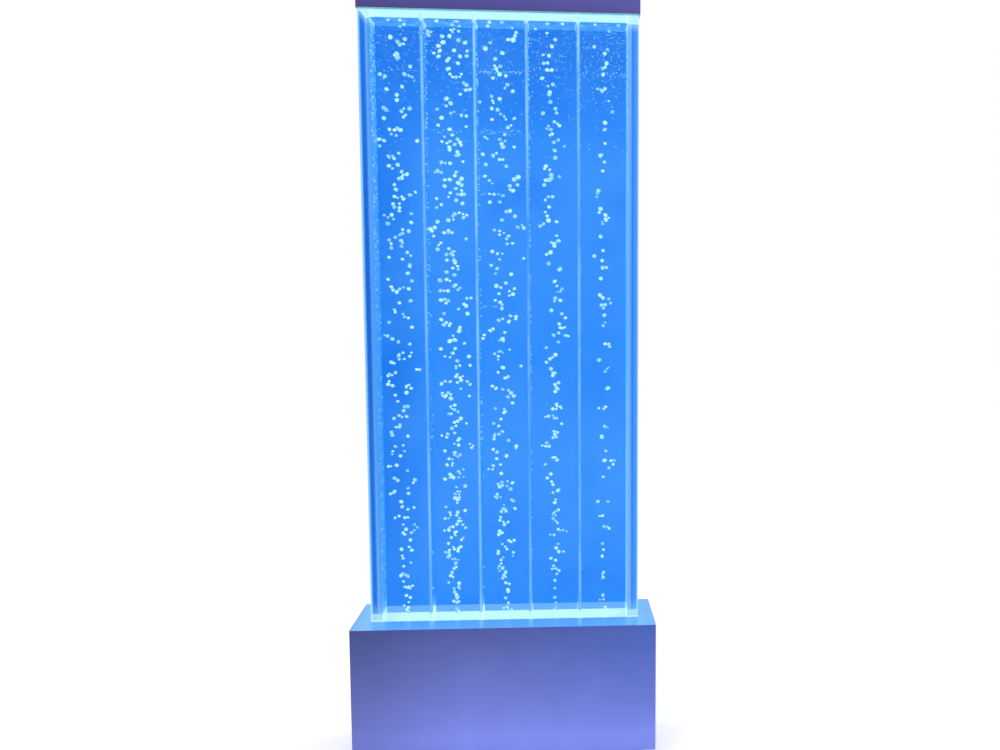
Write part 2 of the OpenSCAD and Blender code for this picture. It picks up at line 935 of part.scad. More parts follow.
module air_pump() {
    body_r = 12;
    lid_h = 3;
    lid_inset = 7;
    lid_r = 8;
    spout_collar = 2.5;
    spout_collar_h = 7;
    color("slategray")
        difference() {
            union() {
                translate([pump_x + pump_l / 2, pump_y, pump_z]) {
                    linear_extrude(pump_h)
                        rounded_rect(pump_l, pump_w, body_r);
                    linear_extrude(pump_h + lid_h)
                        rounded_rect(pump_l - 2 * lid_inset, pump_w - 2 * lid_inset, lid_r);
                }
                translate([pump_out_x, pump_y, pump_z + pump_h]) {
                    cylinder(d = barb_d + 2 * spout_collar, h = spout_collar_h);
                    cylinder(d = barb_d, h = pump_spout_h);
                }
            }
            rib_grooves();
        }
}

// Cooling grooves around the pump body
module rib_grooves() {
    groove_w = 4;
    groove_deep = 3;
    groove_pitch = 12;
    groove_end = 12;
    groove_margin = 20;
    groove_count = floor((pump_l - 2 * groove_margin) / groove_pitch);
    for (i = [0 : groove_count - 1], s = [-1, 1])
        translate([pump_x + pump_l / 2 + (i - (groove_count - 1) / 2) * groove_pitch,
                   pump_y + s * pump_w / 2, pump_z + pump_h / 2])
            cube([groove_w, 2 * groove_deep, pump_h - 2 * groove_end], center = true);
}

module pump_mounts() {
    inset_x = 22;
    inset_y = 18;
    rim_h = 3;
    waist = 2;
    mount_r = mount_d / 2;
    color("black")
        for (x = [pump_x + inset_x, pump_x + pump_l - inset_x], s = [-1, 1])
            translate([x, pump_y + s * (pump_w / 2 - inset_y), tray_z])
                rotate_extrude()
                    polygon([
                        [0, 0], [mount_r, 0], [mount_r, rim_h], [mount_r - waist, mount_h / 2],
                        [mount_r, mount_h - rim_h], [mount_r, mount_h], [0, mount_h]
                    ]);
}

// Electrics

module led_driver() {
    tab_h = 3;
    tab_inset = 8;
    tab_hole_d = 4.5;
    groove_inset = 6;
    groove_count = 9;
    groove_pitch = 11;
    groove_w = 4;
    groove_deep = 2;
    color("gainsboro")
        translate([driver_x + driver_l / 2, driver_y, tray_z])
            difference() {
                union() {
                    linear_extrude(driver_h)
                        rounded_rect(driver_l - 2 * driver_tab, driver_w, 3);
                    linear_extrude(tab_h)
                        rounded_rect(driver_l, driver_w - 2 * tab_inset, 4);
                }
                for (s = [-1, 1])
                    translate([s * (driver_l - driver_tab) / 2, 0, -past])
                        cylinder(d = tab_hole_d, h = tab_h + 2 * past);
                for (i = [0 : groove_count - 1])
                    translate([(i - (groove_count - 1) / 2) * groove_pitch, 0, driver_h])
                        cube([groove_w, driver_w - 2 * groove_inset, 2 * groove_deep], center = true);
            }
}

module terminal_block() {
    ways = 5;
    way_w = block_l / ways;
    screw_hole_d = 5;
    screw_hole_deep = 5;
    color("ivory")
        difference() {
            translate([block_x, block_y - block_w / 2, tray_z])
                cube([block_l, block_w, block_h]);
            for (i = [0 : ways - 1], s = [-1, 1])
                translate([block_x + (i + 0.5) * way_w, block_y + s * block_w / 4,
                           tray_z + block_h - screw_hole_deep])
                    cylinder(d = screw_hole_d, h = screw_hole_deep + past);
        }
}

module wiring() {
    short_reach = 10;
    long_reach = 40;
    switch_reach = 50;
    tall_rise = 120;
    low_rise = 90;
    entry_rise = 20;
    entry_z = pump_z + entry_rise;
    block_mid_z = tray_z + block_h / 2;
    driver_end_x = driver_x + driver_l - driver_tab;
    driver_top_z = tray_z + driver_h;
    high_lead_in = 30;
    high_lead_x = driver_x + high_lead_in;
    low_lead_in = 60;
    low_lead_x = driver_x + low_lead_in;
    switch_lead_x = block_x + 8;
    color("black") {
        // terminal block to driver
        flex([
            [block_x, block_y, block_mid_z], [block_x - short_reach, block_y, block_mid_z],
            [driver_end_x + short_reach, driver_y, block_mid_z],
            [driver_end_x, driver_y, block_mid_z]
        ], wire_d, [0, 0.2, 1], 6);
        // terminal block to pump
        flex([
            [block_x + block_l, block_y, block_mid_z],
            [block_x + block_l + long_reach, block_y, block_mid_z],
            [pump_x - long_reach, pump_y, entry_z], [pump_x, pump_y, entry_z]
        ], wire_d, [0, 0.2, 1], 10);
        // terminal block to switch
        flex([
            [switch_lead_x, block_y + block_w / 2, block_mid_z],
            [switch_lead_x, block_y + 2 * long_reach, block_mid_z],
            [control_x, panel_y - switch_depth - switch_reach, switch_z],
            [control_x, panel_y - switch_depth, switch_z]
        ], wire_d, [0.1, 0.2, 1]);
        // driver to the lead in the side bar
        flex([
            [high_lead_x, driver_y, driver_top_z],
            [high_lead_x, driver_y, driver_top_z + tall_rise],
            [-bar_x, 0, side_lead_z - tall_rise], [-bar_x, 0, side_lead_z]
        ], wire_d, [0.2, 1, 0.1]);
        // driver to the lower light
        flex([
            [low_lead_x, driver_y, driver_top_z],
            [low_lead_x, driver_y, driver_top_z + low_rise],
            [low_lead_x, 0, light_z - low_rise], [low_lead_x, 0, light_z]
        ], wire_d, [1, 0.2, 0.1]);
    }
}

module side_lead() {
    color("whitesmoke")
        translate([-bar_x, 0, side_lead_z])
            cylinder(d = lead_d, h = frame_top_z - side_lead_z);
}

module light_socket() {
    color("black")
        translate([-bar_x, 0, frame_top_z])
            difference() {
                cylinder(d = socket_d, h = socket_h);
                for (s = [-1, 1])
                    translate([0, s * pin_y, socket_h - pin_l - past])
                        cylinder(d = pin_d + 2 * fit_gap, h = pin_l + 2 * past);
            }
}

module cable_gland() {
    nut_t = 6;
    thread_in = 8;
    hex_t = 5;
    dome_t = 7;
    tip_t = 4;
    dome_step = 3;
    tip_wall = 2;
    dome_d = gland_hex_af - dome_step;
    color("black")
        translate([control_x, 0, gland_z])
            difference() {
                union() {
                    translate([0, panel_y - nut_t, 0])
                        to_rear() hex(gland_hex_af, nut_t);
                    translate([0, panel_y - thread_in, 0])
                        to_rear() cylinder(d = gland_thread_d, h = thread_in + sheet_t + hex_t);
                    translate([0, panel_out_y, 0])
                        to_rear() hex(gland_hex_af, hex_t);
                    translate([0, panel_out_y + hex_t, 0])
                        to_rear() cylinder(d = dome_d, h = dome_t);
                    translate([0, panel_out_y + hex_t + dome_t, 0])
                        to_rear() cylinder(d1 = dome_d, d2 = gland_bore_d + 2 * tip_wall, h = tip_t);
                }
                translate([0, panel_y - thread_in - past, 0])
                    to_rear() cylinder(d = gland_bore_d, h = recess_d + thread_in);
            }
}

module switch_housing() {
    bezel = 2;
    wall = 1.5;
    pocket = 9;
    color("black")
        translate([control_x, 0, switch_z])
            difference() {
                union() {
                    block([-switch_w / 2 - bezel, switch_w / 2 + bezel],
                          [panel_out_y, panel_out_y + bezel],
                          [-switch_h / 2 - bezel, switch_h / 2 + bezel]);
                    block([-switch_w / 2, switch_w / 2],
                          [panel_y - switch_depth, panel_out_y + bezel],
                          [-switch_h / 2, switch_h / 2]);
                }
                block([wall - switch_w / 2, switch_w / 2 - wall],
                      [panel_out_y - pocket, panel_out_y + bezel + past],
                      [wall - switch_h / 2, switch_h / 2 - wall]);
                translate([-switch_w / 2, rocker_y, 0])
                    rotate([0, 90, 0])
                        cylinder(d = rocker_pin_d + 2 * fit_gap, h = switch_w);
            }
}

// Pressed at its upper half when it is off
module power_rocker() {
    side_room = 2;
    rocker_w = switch_w - 2 * side_room;
    half_h = switch_h / 2 - 3;
    root = 4;
    lip = 2.5;
    face = 5;
    dip = 3.8;
    pin_end = 0.2;
    color("crimson")
        translate([control_x, rocker_y, switch_z])
            rotate([rocker_tilt, 0, 0]) {
                rotate([90, 0, 90])
                    translate([0, 0, -rocker_w / 2])
                        linear_extrude(rocker_w)
                            polygon([
                                [-root, -root], [-root, root], [lip, half_h], [face, half_h],
                                [dip, 0], [face, -half_h], [lip, -half_h]
                            ]);
                translate([pin_end - switch_w / 2, 0, 0])
                    rotate([0, 90, 0]) cylinder(d = rocker_pin_d, h = switch_w - 2 * pin_end);
            }
}

// Drain

module drain_fitting() {
    nut_wall = 3.5;
    drain_nut_h = 8;
    thread_end = drain_nut_h + 2;
    rim = 3;
    rim_h = 2;
    wall = 3.5;
    color("whitesmoke")
        translate([drain_x, 0, 0])
            difference() {
                union() {
                    translate([0, 0, tank_low_z - thread_end])
                        cylinder(d = drain_d, h = end_plate_t + thread_end);
                    translate([0, 0, base_top_z])
                        cylinder(d = drain_d + 2 * rim, h = rim_h);
                    translate([0, 0, tank_low_z - drain_nut_h])
                        hex(drain_d + 2 * nut_wall, drain_nut_h);
                    translate([0, 0, drain_out_z])
                        cylinder(d = hose_d - 2 * hose_wall, h = drain_tail);
                }
                translate([0, 0, tank_low_z])
                    cylinder(d = drain_d - 2 * wall, h = end_plate_t + rim_h + past);
            }
}

module drain_hose() {
    drop = 130;
    reach = 42;
    valve_end_y = panel_y - valve_tail;
    color("lightsteelblue")
        flex([
            [drain_x, 0, drain_out_z],
            [drain_x, 0, drain_out_z - drop],
            [drain_valve_x, valve_end_y - 2 * reach, drain_valve_z],
            [drain_valve_x, valve_end_y, drain_valve_z]
        ], hose_d, [1, 0.15, 0.1], 22, 10);
}

module drain_valve() {
    nut_wall = 3;
    nut_t = 6;
    thread_out = 4;
    end_gap = 1;
    wall = 2.5;
    neck_h = 4;
    stem_in = 1;
    color("goldenrod")
        translate([drain_valve_x, 0, drain_valve_z])
            difference() {
                union() {
                    translate([0, panel_y - valve_tail, 0])
                        to_rear() cylinder(d = hose_d - 2 * hose_wall, h = valve_tail);
                    translate([0, panel_y - nut_t, 0])
                        to_rear() hex(valve_thread_d + 2 * nut_wall, nut_t);
                    translate([0, panel_y - nut_t, 0])
                        to_rear() cylinder(d = valve_thread_d, h = nut_t + thread_out);
                    block([-valve_block / 2, valve_block / 2],
                          [panel_out_y, panel_out_y + recess_d - outlet_l - end_gap],
                          [-valve_block / 2, valve_block / 2]);
                    translate([0, panel_out_y + thread_out, 0])
                        to_rear() cylinder(d = outlet_d, h = recess_d - end_gap - thread_out);
                    translate([0, drain_valve_y, 0])
                        cylinder(d = stem_d + 2 * stem_wall, h = valve_block / 2 + neck_h);
                }
                translate([0, panel_out_y + thread_out, 0])
                    to_rear() cylinder(d = outlet_d - 2 * wall, h = recess_d);
                translate([0, drain_valve_y, stem_in])
                    cylinder(d = stem_d + 2 * fit_gap, h = valve_block);
            }
}

// Across the outlet when the valve is shut
module drain_lever() {
    neck_h = 4;
    hub_h = 4;
    lever_t = 3;
    lever_w = 9;
    stem_low_z = drain_valve_z + 2;
    hub_z = drain_valve_z + valve_block / 2 + neck_h + seat_gap;
    color("firebrick")
        translate([drain_valve_x, drain_valve_y, 0]) {
            translate([0, 0, stem_low_z])
                cylinder(d = stem_d, h = hub_z - stem_low_z);
            translate([0, 0, hub_z])
                cylinder(d = stem_d + 2 * stem_wall, h = hub_h);
            translate([-drain_lever_l / 2, 0, hub_z])
                linear_extrude(lever_t)
                    slot_shape(drain_lever_l + lever_w, lever_w);
        }
}

// Service door

module hinge_leaf(s) {
    leaf_w = 16;
    block(s > 0 ? [0, leaf_w] : [-leaf_w, 0], [panel_out_y, panel_out_y + leaf_t],
          [-hinge_l / 2, hinge_l / 2]);
}

module fixed_hinge_leaves() {
    color("silver")
        for (z = hinge_places)
            translate([hinge_x, 0, door_mid_z + z]) {
                difference() {
                    union() {
                        hinge_leaf(-1);
                        translate([0, hinge_y, -hinge_l / 2])
                            cylinder(d = knuckle_d, h = hinge_l);
                    }
                    knuckle_room(seat_gap);
                }
                translate([0, hinge_y, -hinge_l / 2])
                    cylinder(d = hinge_pin_d, h = hinge_l);
            }
}

// Space of the middle knuckle between the two fixed ones
module knuckle_room(gap) {
    room = knuckle_l + 2 * gap;
    block([-knuckle_d / 2 - gap, knuckle_d], [panel_out_y - past, hinge_y + knuckle_d],
          [-room / 2, room / 2]);
}

module door_hinge_leaves() {
    color("silver")
        for (z = hinge_places)
            translate([hinge_x, 0, door_mid_z + z])
                difference() {
                    union() {
                        difference() {
                            translate([door_gap, 0, 0])
                                hinge_leaf(1);
                            translate([0, hinge_y, -hinge_l / 2 - past])
                                cylinder(d = knuckle_d + 2 * seat_gap, h = hinge_l + 2 * past);
                        }
                        translate([0, hinge_y, -knuckle_l / 2])
                            cylinder(d = knuckle_d, h = knuckle_l);
                        block([0, knuckle_d], [panel_out_y, panel_out_y + leaf_t],
                              [-knuckle_l / 2, knuckle_l / 2]);
                    }
                    translate([0, hinge_y, -hinge_l])
                        cylinder(d = hinge_pin_d + 2 * fit_gap, h = 2 * hinge_l);
                }
}

module access_door() {
    fold = 6;
    fold_gap = 2;
    cam_room = 2;
    out_w = door_w - 2 * door_gap;
    out_h = door_h - 2 * door_gap;
    fold_w = out_w - 2 * rim_over - 2 * fold_gap;
    fold_h = out_h - 2 * rim_over - 2 * fold_gap;
    color(paint)
        difference() {
            union() {
                translate([0, panel_y + sheet_t / 2, door_mid_z])
                    cube([out_w, sheet_t, out_h], center = true);
                translate([0, panel_y - fold / 2, door_mid_z])
                    difference() {
                        cube([fold_w, fold, fold_h], center = true);
                        cube([fold_w - 2 * sheet_t, fold + 2 * past, fold_h - 2 * sheet_t],
                             center = true);
                        translate([latch_x + door_w / 4, 0, 0])
                            cube([door_w / 2, 2 * fold, 2 * (cam_reach + cam_room)],
                                 center = true);
                    }
            }
            translate([latch_x, panel_y - past, door_mid_z])
                to_rear() cylinder(d = latch_d + 2 * fit_gap, h = sheet_t + 2 * past);
        }
}

module latch_body() {
    bore_l = 20;
    rose = 4;
    rose_slope = 1.5;
    nut_rim = 3;
    color("silver")
        translate([latch_x, 0, door_mid_z])
            difference() {
                union() {
                    translate([0, panel_y - latch_nut_t, 0])
                        to_rear() cylinder(d = latch_d, h = sheet_t + latch_nut_t);
                    translate([0, panel_out_y, 0])
                        to_rear() cylinder(d1 = latch_d + 2 * rose,
                                           d2 = latch_d + 2 * (rose - rose_slope),
                                           h = latch_rose_h);
                    translate([0, panel_y - latch_nut_t, 0])
                        to_rear() cylinder(d = latch_d + 2 * nut_rim, h = latch_nut_t);
                }
                translate([0, panel_y - latch_nut_t - past, 0])
                    to_rear() cylinder(d = spindle_d + 2 * fit_gap, h = bore_l);
            }
}

// The cam hangs down when the door is free to open, and points to the jamb when it is locked
module latch_knob() {
    cam_t = 2;
    cam_y = panel_y - sheet_t - seat_gap - cam_t;
    knob_y = panel_out_y + latch_rose_h + seat_gap;
    knob_t = 3;
    grip_l = latch_d + 6;
    grip_w = 5;
    grip_h = 12;
    color("dimgray")
        translate([latch_x, 0, door_mid_z]) {
            translate([0, cam_y, 0])
                to_rear() cylinder(d = spindle_d, h = knob_y - cam_y + knob_t / 2);
            translate([0, cam_y, -(cam_reach - cam_w / 2) / 2])
                to_rear()
                    linear_extrude(cam_t)
                        rotate(90) slot_shape(cam_reach + cam_w / 2, cam_w);
            translate([0, knob_y, 0])
                to_rear() cylinder(d = latch_d, h = knob_t);
            translate([0, knob_y, 0])
                to_rear() linear_extrude(grip_h) slot_shape(grip_l, grip_w);
        }
}

// Feet

// Rubber pad, hexagon collar and stud of one levelling foot
module foot(sx, sy) {
    pad_h = foot_h - foot_collar_h;
    pad_r = foot_d / 2;
    edge = 1;
    edge_h = 2;
    rim_h = 6;
    thread_in = 1;
    color("dimgray")
        translate([sx * foot_x, sy * foot_y, 0]) {
            rotate_extrude()
                polygon([
                    [0, 0], [pad_r - edge, 0], [pad_r, edge_h], [pad_r, rim_h],
                    [stud_d, pad_h], [0, pad_h]
                ]);
            translate([0, 0, pad_h])
                hex(foot_nut_af, foot_collar_h);
            translate([0, 0, foot_h - thread_in])
                cylinder(d = stud_d, h = thread_in + sheet_t + foot_nut_h + foot_travel + edge);
        }
}

module foot_1() foot(-1, -1);
module foot_2() foot(1, -1);
module foot_3() foot(-1, 1);
module foot_4() foot(1, 1);

// Cap

module cap_shell() {
    socket_room = 1.5;
    color(paint) {
        difference() {
            translate([0, 0, tank_high_z])
                linear_extrude(cap_h)
                    rounded_rect(cap_w, cap_d, bend_r);
            translate([0, 0, tank_high_z - past])
                linear_extrude(cap_h - sheet_t + past)
                    rounded_rect(cap_w - 2 * sheet_t, cap_d - 2 * sheet_t, inner_r);
        }
        for (s = [-1, 1])
            difference() {
                translate([s * (cap_w / 2 - sheet_t), 0, 0]) {
                    translate([-s * ledge_w / 2, 0, 0])
                        wide_block(ledge_w, [-tank_d / 2, tank_d / 2],
                                   [frame_top_z, frame_top_z + sheet_t]);
                    translate([-s * sheet_t / 2, 0, 0])
                        wide_block(sheet_t, [-tank_d / 2, tank_d / 2],
                                   [frame_top_z, frame_top_z + ledge_h]);
                }
                translate([s * bar_x, 0, frame_top_z - past])
                    cylinder(d = socket_d + 2 * socket_room, h = sheet_t + 2 * past);
            }
    }
}

module upper_light_channel() {
    color("silver")
        difference() {
            wide_block(upper_light_l, [-light_w / 2, light_w / 2], [upper_z, upper_z + light_h]);
            wide_block(upper_light_l + 2 * past, [light_t - light_w / 2, light_w / 2 - light_t],
                       [upper_z - past, upper_z + light_h - light_t]);
        }
}

module upper_led_strip() {
    color("white")
        translate([0, 0, upper_z + light_h - light_t])
            mirror([0, 0, 1])
                for (s = [-1, 1])
                    translate([0, s * pcb_y, 0])
                        led_board(upper_light_l - 2 * strip_end);
}

module upper_diffuser() {
    end_gap = 0.5;
    color("white")
        wide_block(upper_light_l - 2 * end_gap, [light_t - light_w / 2, light_w / 2 - light_t],
                   [upper_z, upper_z + diffuser_t]);
}

module cap_hangers() {
    hanger_t = 2;
    low = upper_z + light_h;
    high = cap_top_z - sheet_t;
    color("silver")
        for (s = [-1, 1])
            translate([s * hanger_x, 0, 0]) {
                wide_block(hanger_w, [-light_w / 2, light_w / 2], [low, low + hanger_t]);
                wide_block(hanger_w, [-light_w / 2, light_w / 2],
                           [high - hanger_t, high]);
                wide_block(hanger_w, [-hanger_t / 2, hanger_t / 2], [low, high]);
            }
}

module light_plug() {
    socket_room = 0.5;
    pocket_h = socket_h - sheet_t + seat_gap;
    pin_tip = 1;
    color("black")
        translate([-bar_x, 0, frame_top_z + sheet_t]) {
            difference() {
                cylinder(d = plug_d, h = plug_h);
                translate([0, 0, -past])
                    cylinder(d = socket_d + 2 * socket_room, h = pocket_h + past);
            }
            for (s = [-1, 1])
                translate([0, s * pin_y, socket_h - sheet_t - pin_l + pin_tip])
                    cylinder(d = pin_d, h = pin_l);
        }
}

module cap_lead() {
    rise = 24;
    plug_top = frame_top_z + sheet_t + plug_h;
    light_top = upper_z + light_h;
    entry_x = -upper_light_l / 2 + 2 * wire_d;
    color("whitesmoke")
        flex([
            [-bar_x, 0, plug_top], [-bar_x, 0, plug_top + rise],
            [entry_x, 0, light_top + rise], [entry_x, 0, light_top]
        ], wire_d, [0, 1, 0], 12);
}

base_wrap();
base_top();
base_floor();
rear_panel();
rear_panel_screws();
foot_nuts();
tank_cradle();
tank_floor();
front_plate();
back_plate();
left_side_bar();
right_side_bar();
divider_1();
divider_2();
divider_3();
divider_4();
top_frame();
lower_light_channel();
lower_led_strips();
air_nozzles();
nozzle_nuts();
check_valves();
air_tubes();
gang_valve();
valve_bracket();
air_pump();
pump_mounts();
led_driver();
terminal_block();
wiring();
side_lead();
light_socket();
cable_gland();
switch_housing();
drain_fitting();
drain_hose();
drain_valve();
fixed_hinge_leaves();
cap_shell();
upper_light_channel();
upper_led_strip();
upper_diffuser();
cap_hangers();
light_plug();
cap_lead();
access_door();
door_hinge_leaves();
latch_body();
latch_knob();
power_rocker();
tap_1();
tap_2();
tap_3();
tap_4();
tap_5();
drain_lever();
foot_1();
foot_2();
foot_3();
foot_4();
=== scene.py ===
import math
import random

import bmesh
import bpy
from mathutils import Matrix, Vector, noise


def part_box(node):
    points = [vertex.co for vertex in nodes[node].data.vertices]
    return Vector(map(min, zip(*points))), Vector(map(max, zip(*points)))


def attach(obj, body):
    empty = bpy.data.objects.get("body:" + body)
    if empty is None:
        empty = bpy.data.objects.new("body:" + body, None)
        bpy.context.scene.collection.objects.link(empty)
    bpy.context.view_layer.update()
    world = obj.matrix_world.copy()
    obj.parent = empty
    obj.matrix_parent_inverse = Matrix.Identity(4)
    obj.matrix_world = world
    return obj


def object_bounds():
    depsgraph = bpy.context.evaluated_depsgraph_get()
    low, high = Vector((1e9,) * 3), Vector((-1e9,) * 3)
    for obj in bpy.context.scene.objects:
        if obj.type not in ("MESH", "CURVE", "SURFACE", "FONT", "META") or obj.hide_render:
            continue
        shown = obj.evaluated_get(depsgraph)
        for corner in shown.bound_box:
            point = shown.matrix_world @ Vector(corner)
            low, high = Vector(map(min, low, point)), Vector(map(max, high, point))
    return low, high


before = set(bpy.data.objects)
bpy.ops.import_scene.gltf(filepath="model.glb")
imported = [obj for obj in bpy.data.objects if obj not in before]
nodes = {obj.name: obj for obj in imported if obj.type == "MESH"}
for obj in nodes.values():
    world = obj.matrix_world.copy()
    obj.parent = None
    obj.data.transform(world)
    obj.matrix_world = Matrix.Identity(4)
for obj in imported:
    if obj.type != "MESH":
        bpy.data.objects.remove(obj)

cad_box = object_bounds()

# The camera stands where the photograph was taken from
CAMERA_AT = (0.1247, -2.4822, 1.0355)
CAMERA_YAW = -4.548
CAMERA_PITCH = -5.718
CAMERA_ROLL = 0.156
IMAGE_W = 1000
IMAGE_H = 750
FOCAL_PX = 1050.7
CENTRE_PX = (640.8, 420.3)
SENSOR_W = 36.0

# Places on the object, mostly read from its parts in model.glb
PANEL_LOW, PANEL_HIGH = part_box("front_plate")
BACK_LOW, BACK_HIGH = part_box("back_plate")
FLOOR_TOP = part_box("tank_floor")[1].z
FRAME_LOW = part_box("top_frame")[0].z
BASE_LOW, BASE_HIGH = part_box("base_wrap")
INNER_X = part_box("right_side_bar")[0].x
INNER_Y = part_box("right_side_bar")[1].y
DIVIDERS = [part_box(f"divider_{i}") for i in range(1, 5)]
EDGES = [-INNER_X] + [x for low, high in DIVIDERS for x in (low.x, high.x)] + [INNER_X]
CHANNELS = [(EDGES[2 * i], EDGES[2 * i + 1]) for i in range(5)]
BAR_W = PANEL_HIGH.x - INNER_X
WATER_Z = 1.692
# How far inside a face a point still counts as on it: plates and bars, bar edges, divider cuts
ON_FACE = 0.0005
ON_EDGE = 0.0006
ON_CUT = 0.0008


def srgb(red, green, blue):
    """The linear colour of a colour given in steps of 255."""
    def linear(v):
        v = v / 255
        return v / 12.92 if v <= 0.04045 else ((v + 0.055) / 1.055) ** 2.4
    return (linear(red), linear(green), linear(blue), 1.0)


def held(value, low, high):
    return max(low, min(high, value))


class Shader:
    """A material whose nodes are added one call at a time."""

    def __init__(self, name):
        self.material = bpy.data.materials.new(name)
        self.material.use_nodes = True
        self.tree = self.material.node_tree
        self.tree.nodes.clear()
        self.place = self.add("ShaderNodeTexCoord").outputs["Object"]
        split = self.add("ShaderNodeSeparateXYZ")
        self.join(self.place, split.inputs[0])
        self.x, self.y, self.z = split.outputs

    def add(self, kind, **settings):
        node = self.tree.nodes.new(kind)
        for key, value in settings.items():
            setattr(node, key, value)
        return node

    def join(self, value, socket):
        if isinstance(value, bpy.types.NodeSocket):
            self.tree.links.new(value, socket)
        else:
            socket.default_value = value

    def math(self, operation, a, b=0.0, clamp=False):
        node = self.add("ShaderNodeMath", operation=operation, use_clamp=clamp)
        self.join(a, node.inputs[0])
        self.join(b, node.inputs[1])
        return node.outputs[0]

    def span(self, value, low, high, to_low=0.0, to_high=1.0, smooth=False):
        """value mapped from low..high to to_low..to_high, held at both ends."""
        node = self.add("ShaderNodeMapRange")
        node.interpolation_type = "SMOOTHSTEP" if smooth else "LINEAR"
        self.join(value, node.inputs["Value"])
        node.inputs["From Min"].default_value = low
        node.inputs["From Max"].default_value = high
        node.inputs["To Min"].default_value = to_low
        node.inputs["To Max"].default_value = to_high
        return node.outputs["Result"]

    def scaled(self, sx, sy, sz):
        """Object coordinates, stretched."""
        node = self.add("ShaderNodeMapping")
        self.join(self.place, node.inputs["Vector"])
        node.inputs["Scale"].default_value = (sx, sy, sz)
        return node.outputs[0]

    def noise(self, scale, detail=3.0, rough=0.5, at=None):
        node = self.add("ShaderNodeTexNoise")
        self.join(at or self.place, node.inputs["Vector"])
        node.inputs["Scale"].default_value = scale
        node.inputs["Detail"].default_value = detail
        node.inputs["Roughness"].default_value = rough
        return node.outputs["Fac"]

    def cells(self, scale, at=None, feature="F1", output="Distance"):
        node = self.add("ShaderNodeTexVoronoi", feature=feature)
        self.join(at or self.place, node.inputs["Vector"])
        node.inputs["Scale"].default_value = scale
        return node.outputs[output]

    def ramp(self, value, stops, smooth=True):
        """Colours over 0..1, from (place, colour) pairs."""
        node = self.add("ShaderNodeValToRGB")
        node.color_ramp.interpolation = "EASE" if smooth else "LINEAR"
        points = node.color_ramp.elements
        for at, colour in stops[1:-1]:
            points.new(at).color = colour
        for point, (at, colour) in ((points[0], stops[0]), (points[-1], stops[-1])):
            point.position = at
            point.color = colour
        self.join(value, node.inputs[0])
        return node.outputs[0]

    def levels(self, value, stops):
        """Plain numbers over 0..1, from (place, number) pairs."""
        return self.ramp(value, [(at, (v, v, v, 1.0)) for at, v in stops], False)

    def mix(self, share, a, b, kind="MIX"):
        node = self.add("ShaderNodeMix", data_type="RGBA", blend_type=kind)
        self.join(share, node.inputs["Factor"])
        self.join(a, node.inputs["A"])
        self.join(b, node.inputs["B"])
        return node.outputs["Result"]

    def bump(self, height, depth, strength=1.0):
        node = self.add("ShaderNodeBump")
        node.inputs["Strength"].default_value = strength
        node.inputs["Distance"].default_value = depth
        self.join(height, node.inputs["Height"])
        return node.outputs[0]

    def principled(self, **inputs):
        node = self.add("ShaderNodeBsdfPrincipled")
        for key, value in inputs.items():
            self.join(value, node.inputs[key.replace("_", " ")])
        return node.outputs[0]

    def finish(self, surface):
        out = self.add("ShaderNodeOutputMaterial")
        self.join(surface, out.inputs["Surface"])
        return self.material


BLACK = (0.0, 0.0, 0.0, 1.0)


# Painted sheet metal, whose tints carry painted light and shade: the base paler low down, the cap
# darker low down, and painted coloured light at their right
BASE_LIT_LOW_TINT = srgb(140, 154, 255)
BASE_SHADED_HIGH_TINT = srgb(80, 93, 168)
BASE_LIGHT_CAST = srgb(60, 120, 235)
CAP_SHADED_LOW_TINT = srgb(68, 63, 136)
CAP_LIT_HIGH_TINT = srgb(98, 102, 198)
CAP_LIGHT_CAST = srgb(112, 112, 196)
# Painted light: the panel's glow on the base's top, paler to the right and at the far side, bluer
# past the panel's ends
LEDGE_GLOW_TINT = srgb(90, 163, 249)
LEDGE_GLOW_RIGHT = srgb(98, 168, 249)
LEDGE_GLOW_FAR = srgb(104, 171, 251)
LEDGE_GLOW_END = srgb(54, 162, 245)
LEDGE_GLOW_RIM = srgb(40, 150, 238)
LEDGE_GLOW_RIGHT_END = srgb(0, 156, 240)
LEDGE_GLOW = 0.3
# Painted light: below this height the base keeps its palest tint
LIT_FOOT_H = 0.045    # the base's lowest part, which keeps its palest tint
PEEL = (520, 2, 0.6)     # orange peel of the paint: scale, detail and roughness of its noise


def facing(s, axis):
    """The object-space normal's share along an axis, 0..1."""
    coords = s.add("ShaderNodeTexCoord")
    split = s.add("ShaderNodeSeparateXYZ")
    s.join(coords.outputs["Normal"], split.inputs[0])
    return s.math("ABSOLUTE", split.outputs[axis], 0.0, True)


def paint_with_painted_light(name, low_tint, high_tint, low, high, left_shade, light_cast, light_cast_low, light_cast_high):
    """Satin powder coat whose colour runs from one tint to another with height as painted light
    and shade, with painted shade at its left and painted light at its right.
    """
    s = Shader(name)
    # Painted light and shade: the colour changes with height
    up = s.math("POWER", s.span(s.z, low, high), 0.8)
    tint = s.mix(up, low_tint, high_tint)
    # Painted light: a coloured light over the right side
    right = s.span(s.x, BASE_HIGH.x * -0.1, BASE_HIGH.x)
    share = s.span(up, 0.0, 1.0, light_cast_low, light_cast_high)
    tint = s.mix(s.math("MULTIPLY", right, share), tint, light_cast)
    cloud = s.span(s.noise(9, 2), 0.3, 0.7, 0.96, 1.04)
    # Painted shade: darker towards the left end
    left = s.span(s.x, BASE_LOW.x, BASE_LOW.x * 0.25, left_shade, 1.0)
    shade = s.add("ShaderNodeVectorMath", operation="SCALE")
    s.join(tint, shade.inputs[0])
    s.join(s.math("MULTIPLY", cloud, left), shade.inputs["Scale"])
    rough = s.span(s.noise(90, 3), 0.3, 0.7, 0.34, 0.46)
    return s.finish(s.principled(
        Base_Color=shade.outputs[0], Roughness=rough, Specular_IOR_Level=0.3,
        Normal=s.bump(s.noise(*PEEL), 0.00012, 0.5)))


